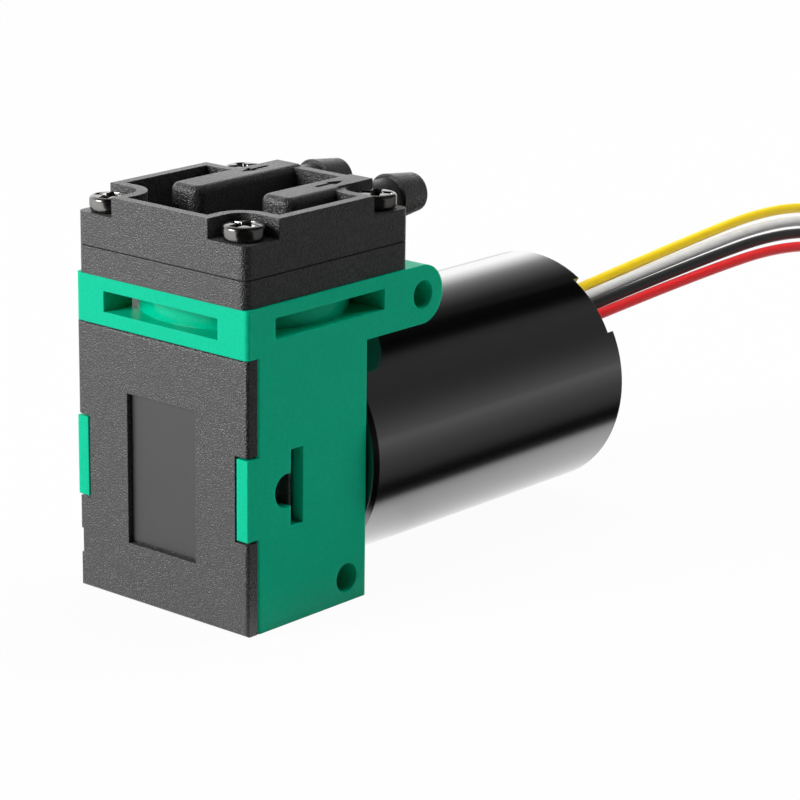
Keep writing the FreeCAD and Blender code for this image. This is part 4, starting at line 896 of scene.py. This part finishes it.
@dataclass
class Leads:
    """Four leads from the grommet down to the floor, with twisted, tinned ends.

    They leave on a circle round the axle, some degrees apart. The twist is in radians per metre.
    """

    diameter: float = 1.3 * MM
    orbit: float = 12.3 * MM
    middle: float = 48.2
    step: float = 6.2
    floor_gap: float = 0.02 * MM
    axle: float = 14.85 * MM
    tip_length: float = 4.0 * MM
    strands: int = 7
    twist: float = 900.0
    core: float = 0.86
    swell: float = 0.12
    closing: float = 0.04
    rows: int = 60
    around: int = 56

    def route(self, lead: Lead) -> list[Vector]:
        """The lead's points, from its exit at the grommet's face to where its insulation ends."""
        angle = math.radians(self.middle + lead.steps * self.step)
        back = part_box("lead_grommet")[1].y
        start = Vector((self.orbit * math.cos(angle), back, self.axle + self.orbit * math.sin(angle)))
        points = [start] + [start + Vector(p) * MM for p in lead.aloft]
        level = self.diameter / 2 + self.floor_gap
        points += [Vector((start.x + x * MM, start.y + y * MM, level)) for x, y in lead.laid]
        return points

    def line(self, lead: Lead, points: list[Vector]) -> Object:
        """The lead's smooth line, without thickness."""
        curve = bpy.data.curves.new(f"lead_{lead.colour}_run", "CURVE")
        curve.dimensions = "3D"
        spline = curve.splines.new("NURBS")
        spline.points.add(len(points) - 1)
        spline.points.foreach_set("co", np.array([(*p, 1.0) for p in points]).ravel())
        spline.order_u = 3
        spline.use_endpoint_u = True
        spline.resolution_u = 24
        return new_object(curve.name, curve)

    def insulate(self, piece: Object, lead: Lead) -> None:
        """Gives the line its round insulation and lets it stand for the CAD lead."""
        piece.data.bevel_depth = self.diameter / 2
        piece.data.bevel_resolution = 7
        piece.data.use_fill_caps = True
        piece.data.materials.append(lead.finish.material())
        node = f"lead_{lead.colour}"
        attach(piece, node_body(node))
        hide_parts(node)

    def tip(self, lead: Lead, line: np.ndarray) -> Object:
        """Twisted strands past the line's end.

        The radius has one swell for each strand, a cosine of the angle that turns along the
        tip, and closes in a quarter circle at the end.

        Args:
            lead: the lead.
            line: points along the lead's line.

        Returns:
            The new piece.
        """
        node = f"lead_tip_{lead.colour}"
        low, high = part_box(node)
        radius = (high.z - low.z) / 2
        along = Vector(line[-1] - line[-2]).normalized()
        aside = along.cross(Vector((0, 0, 1))).normalized()
        up = aside.cross(along)
        s = np.linspace(0, 1, self.rows)[:, None]
        angle = np.linspace(0, 2 * np.pi, self.around, endpoint=False)[None, :]
        lobes = np.abs(np.cos(self.strands / 2 * (angle - self.twist * s * self.tip_length)))
        past = np.clip((s - (1 - self.closing)) / self.closing, 0, 1)
        end = np.sqrt(np.clip(1 - past ** 2, 0, 1))
        r = radius * (self.core + self.swell * lobes) * np.maximum(end, 0.02)
        middle = line[-1][None, None, :] + s[..., None] * self.tip_length * np.array(along)
        ring = np.cos(angle)[..., None] * np.array(aside) + np.sin(angle)[..., None] * np.array(up)
        mesh = grid_mesh(f"tip_{lead.colour}_strands", middle + r[..., None] * ring)
        return add_piece(mesh.name, mesh, Finish.TINNED, node_body(node), (node,))

    def build(self) -> None:
        for lead in LEADS:
            points = self.route(lead)
            piece = self.line(lead, points)
            bare = bpy.data.meshes.new_from_object(piece)
            line = np.empty(len(bare.vertices) * 3)
            bare.vertices.foreach_get("co", line)
            tip = self.tip(lead, line.reshape(-1, 3))
            bpy.data.meshes.remove(bare)
            self.insulate(piece, lead)
            log.info("lead %s: %.1f mm", lead.colour, lead.length / MM)


class PlainPieces:
    """Finishes of the CAD pieces that are shown as they are: the label and the inner pieces."""

    FINISHES = {
        Finish.BARE_LABEL: ("blank_label",),
        Finish.RUBBER: ("valve_gaskets", "inlet_valve_disc", "outlet_valve_disc"),
        Finish.SCREW_STEEL: ("motor_screws", "set_screw"),
        Finish.SHAFT_STEEL: ("diaphragm_insert", "motor_shaft", "rotor_core"),
        Finish.ROD_PLASTIC: ("connecting_rod",),
        Finish.CRANK_METAL: ("eccentric",),
        Finish.BEARING_STEEL: ("front_bearing_inner_ring", "front_bearing_outer_ring",
                               "rear_bearing_inner_ring", "rear_bearing_outer_ring",
                               "crank_bearing_inner_ring", "crank_bearing_outer_ring"),
        Finish.LAMINATIONS: ("stator_stack",),
        Finish.COPPER_WIRE: ("stator_coils",),
        Finish.MAGNET: ("rotor_magnet",),
        Finish.INSULATOR: ("end_insulator",),
        Finish.BOARD: ("circuit_board",),
        Finish.CHIP: ("board_components",),
    }

    def build(self) -> None:
        """Gives each CAD piece its finish."""
        for finish, nodes in self.FINISHES.items():
            for node in nodes:
                dress(frame["nodes"][node], finish)
                log.info("%s: %s", node, finish.value.name)


@dataclass(frozen=True)
class Softbox:
    """A square soft lamp: where it hangs and its side in metres, its watts, whether reflections show it."""

    name: str
    place: Triple
    side: float
    power: float
    mirrored: bool = False


@dataclass
class Studio:
    """Pale floor, soft lamps, world and camera.

    The bands are pairs of place and brightness: the sky's by degrees over the motor's axle, the
    floor's by millimetres along X, and the near shade by millimetres along Y.
    """

    azimuth: float = 40.704
    elevation: float = 16.298
    roll: float = 0.709
    distance: float = 0.36
    aim: Triple = (0.004697, 0.020732, 0.017595)
    lens: float = 142.35
    sensor: float = 36
    near_clip: float = 0.01
    floor_half: float = 1.5
    floor_gap: float = 0.02 * MM
    floor_shade: float = 0.6
    ambient: float = 0.11
    white: float = 0.96
    gloss: float = 0.60
    near_shade: Stops = ((-120, 1.0), (-35, 0.68), (0, 0.68), (22, 1.0))
    card_left: float = 2.2
    sky_left: float = 1.0
    card_right: float = 0.08
    floor_front: Pair = (0.0, 22.0)
    floor_left: Pair = (15.0, 25.0)
    sky_front: Pair = (-0.25, 0.0)
    sky_side: Pair = (0.0, 0.15)
    sky_bands: Stops = (
        (0, 2.6), (10, 3.1), (19, 3.6), (28, 3.1), (36, 2.2), (43, 1.25), (50, 0.8), (56, 0.55),
        (67, 0.25), (77, 0.08), (86, 0.01), (98, 0.004), (104, 0.03), (111, 0.18), (119, 0.226),
        (142, 0.2), (149, 0.22), (157, 0.262), (164, 0.35), (172, 0.48), (179, 0.62))
    floor_card: Stops = (
        (4, 1.45), (9, 1.5), (15, 1.54), (17.2, 1.34), (18.4, 0.7), (19.6, 0.1), (22, 0.02), (25, 0.03),
        (30, 0.15), (38, 0.24), (51, 0.31), (76, 0.44), (159, 0.6), (250, 0.62))
    lamps: tuple[Softbox, ...] = (
        Softbox("key_softbox", (-0.28, -0.62, 0.30), 0.35, 7.6, mirrored=True),
        Softbox("top_softbox", (-0.02, 0.25, 0.52), 0.5, 2.9),
        Softbox("back_softbox", (-0.50, 0.58, 0.26), 0.40, 0.8),
        Softbox("side_softbox", (0.25, 0.70, 0.30), 0.30, 2.0))

    def camera(self) -> None:
        """Sets the camera at the photograph's viewing angle."""
        a, e = math.radians(self.azimuth), math.radians(self.elevation)
        back = Vector((math.sin(a) * math.cos(e), -math.cos(a) * math.cos(e), math.sin(e)))
        level = Vector((math.cos(a), math.sin(a), 0))
        upright = back.cross(level)
        turn = math.radians(self.roll)
        right = level * math.cos(turn) + upright * math.sin(turn)
        up = back.cross(right)
        data = bpy.data.cameras.new("photo_camera")
        data.lens = self.lens
        data.sensor_width = self.sensor
        data.clip_start = self.near_clip
        camera = new_object("photo_camera", data)
        rows = Matrix((right, up, back)).transposed().to_4x4()
        camera.matrix_world = Matrix.Translation(Vector(self.aim) + back * self.distance) @ rows
        bpy.context.scene.camera = camera

    def hang(self, box: Softbox) -> None:
        """Hangs a softbox that points at the pump."""
        data = bpy.data.lights.new(box.name, "AREA")
        data.size = box.side
        data.energy = box.power
        lamp = new_object(box.name, data)
        lamp.visible_camera = False
        lamp.visible_glossy = box.mirrored
        lamp.location = box.place
        lamp.rotation_euler = (Vector(self.aim) - lamp.location).to_track_quat("-Z", "Y").to_euler()

    def floor(self) -> None:
        """White floor with the pump's soft shadow; to reflections a white card beside a dark one."""
        half = self.floor_half
        mesh = bpy.data.meshes.new("floor")
        mesh.from_pydata([(-half, -half, 0), (half, -half, 0), (half, half, 0), (-half, half, 0)],
                         [], [(0, 1, 2, 3)])
        floor = new_object("floor", mesh)
        floor.location.z = -self.floor_gap
        graph = Graph("floor_white")
        plain = graph.add("ShaderNodeBsdfDiffuse")
        plain.inputs["Color"].default_value = (*[self.floor_shade] * 3, 1)
        white = graph.add("ShaderNodeEmission")
        path = graph.add("ShaderNodeLightPath")
        clear = graph.math("MAXIMUM", path.outputs["Is Camera Ray"], path.outputs["Is Transmission Ray"])
        shown = self.mix(graph, graph.math("MULTIPLY", clear, self.white),
                         plain.outputs["BSDF"], white.outputs["Emission"])
        split = graph.add("ShaderNodeSeparateXYZ")
        graph.link(graph.place((1 / MM, 1 / MM, 1 / MM)), split.inputs[0])
        card = graph.add("ShaderNodeEmission")
        level = graph.ramp(split.outputs["X"], self.floor_card)
        front = self.front_cards(graph, graph.spread(split.outputs["Y"], 1.0, 0.0, *self.floor_front),
                                 graph.spread(split.outputs["X"], 1.0, 0.0, *self.floor_left),
                                 self.card_left)
        level = graph.math("MULTIPLY", level, front)
        level = graph.math("MULTIPLY", level, graph.ramp(split.outputs["Y"], self.near_shade))
        graph.link(graph.math("MULTIPLY", level, self.gloss), card.inputs["Strength"])
        mirrored = self.mix(graph, path.outputs["Is Glossy Ray"], shown, card.outputs["Emission"])
        graph.link(mirrored, graph.output.inputs["Surface"])
        graph.material.cycles.emission_sampling = "NONE"
        mesh.materials.append(graph.material)

    def front_cards(self, graph: Graph, front: Socket, left: Socket, bright: float) -> Socket:
        """Brightness factor of the cards in front of the pump: bright at the left, dark at the right.

        Args:
            graph: the floor's or the world's graph.
            front: 1 in front of the pump, and 0 behind, where the factor is 1.
            left: 1 at the left, 0 at the right.
            bright: the left card's factor.

        Returns:
            The value socket.
        """
        change = graph.math("MULTIPLY", left, bright - self.card_right)
        change = graph.math("ADD", change, self.card_right - 1.0)
        return graph.math("ADD", graph.math("MULTIPLY", front, change), 1.0)

    def mix(self, graph: Graph, factor: Socket, first: Socket, second: Socket) -> Socket:
        """Mixes two shaders by a factor."""
        node = graph.add("ShaderNodeMixShader")
        for number, socket in enumerate((factor, first, second)):
            graph.link(socket, node.inputs[number])
        return node.outputs["Shader"]

    def world(self) -> None:
        """Soft grey light all round, white to the camera, and bands of light to reflections.

        The bands run along the motor: to reflections a direction is as bright as its angle over
        the motor's axle says, from the floor at -X over the top to the floor at +X.
        """
        world = bpy.data.worlds.new("studio")
        bpy.context.scene.world = world
        world.use_nodes = True
        graph = Graph.on(world.node_tree, "ShaderNodeOutputWorld")
        path = graph.add("ShaderNodeLightPath")
        soft = graph.add("ShaderNodeBackground")
        soft.inputs["Strength"].default_value = self.ambient
        white = graph.add("ShaderNodeBackground")
        white.inputs["Color"].default_value = (*[self.white] * 3, 1)
        clear = graph.math("MAXIMUM", path.outputs["Is Camera Ray"], path.outputs["Is Transmission Ray"])
        shown = self.mix(graph, clear, soft.outputs["Background"], white.outputs["Background"])
        split = graph.add("ShaderNodeSeparateXYZ")
        graph.link(graph.add("ShaderNodeTexCoord").outputs["Generated"], split.inputs[0])
        up = graph.math("MAXIMUM", split.outputs["Z"], 0.0)
        over = graph.math("ARCTAN2", up, graph.math("MULTIPLY", split.outputs["X"], -1.0))
        level = graph.ramp(graph.math("MULTIPLY", over, 180 / math.pi), self.sky_bands)
        front = self.front_cards(graph, graph.spread(split.outputs["Y"], 1.0, 0.0, *self.sky_front),
                                 graph.spread(split.outputs["X"], 1.0, 0.0, *self.sky_side),
                                 self.sky_left)
        level = graph.math("MULTIPLY", level, front)
        sky = graph.add("ShaderNodeBackground")
        graph.link(graph.math("MULTIPLY", level, self.gloss), sky.inputs["Strength"])
        graph.link(self.mix(graph, path.outputs["Is Glossy Ray"], shown, sky.outputs["Background"]),
                   graph.output.inputs["Surface"])
        world.cycles.sampling_method = "NONE"

    def build(self) -> None:
        """Sets up the whole studio."""
        self.camera()
        self.floor()
        self.world()
        for box in self.lamps:
            self.hang(box)
        bpy.context.scene.view_settings.view_transform = "Standard"


def main() -> None:
    """Builds the studio and the pump's pieces in order."""
    logging.basicConfig(level=logging.INFO, format="%(name)s: %(message)s")
    Studio().build()
    PlainPieces().build()
    PumpHead().build()
    HeadScrews().build()
    Diaphragm().build()
    Motor().build()
    Leads().build()


if __name__ == "__main__":
    main()
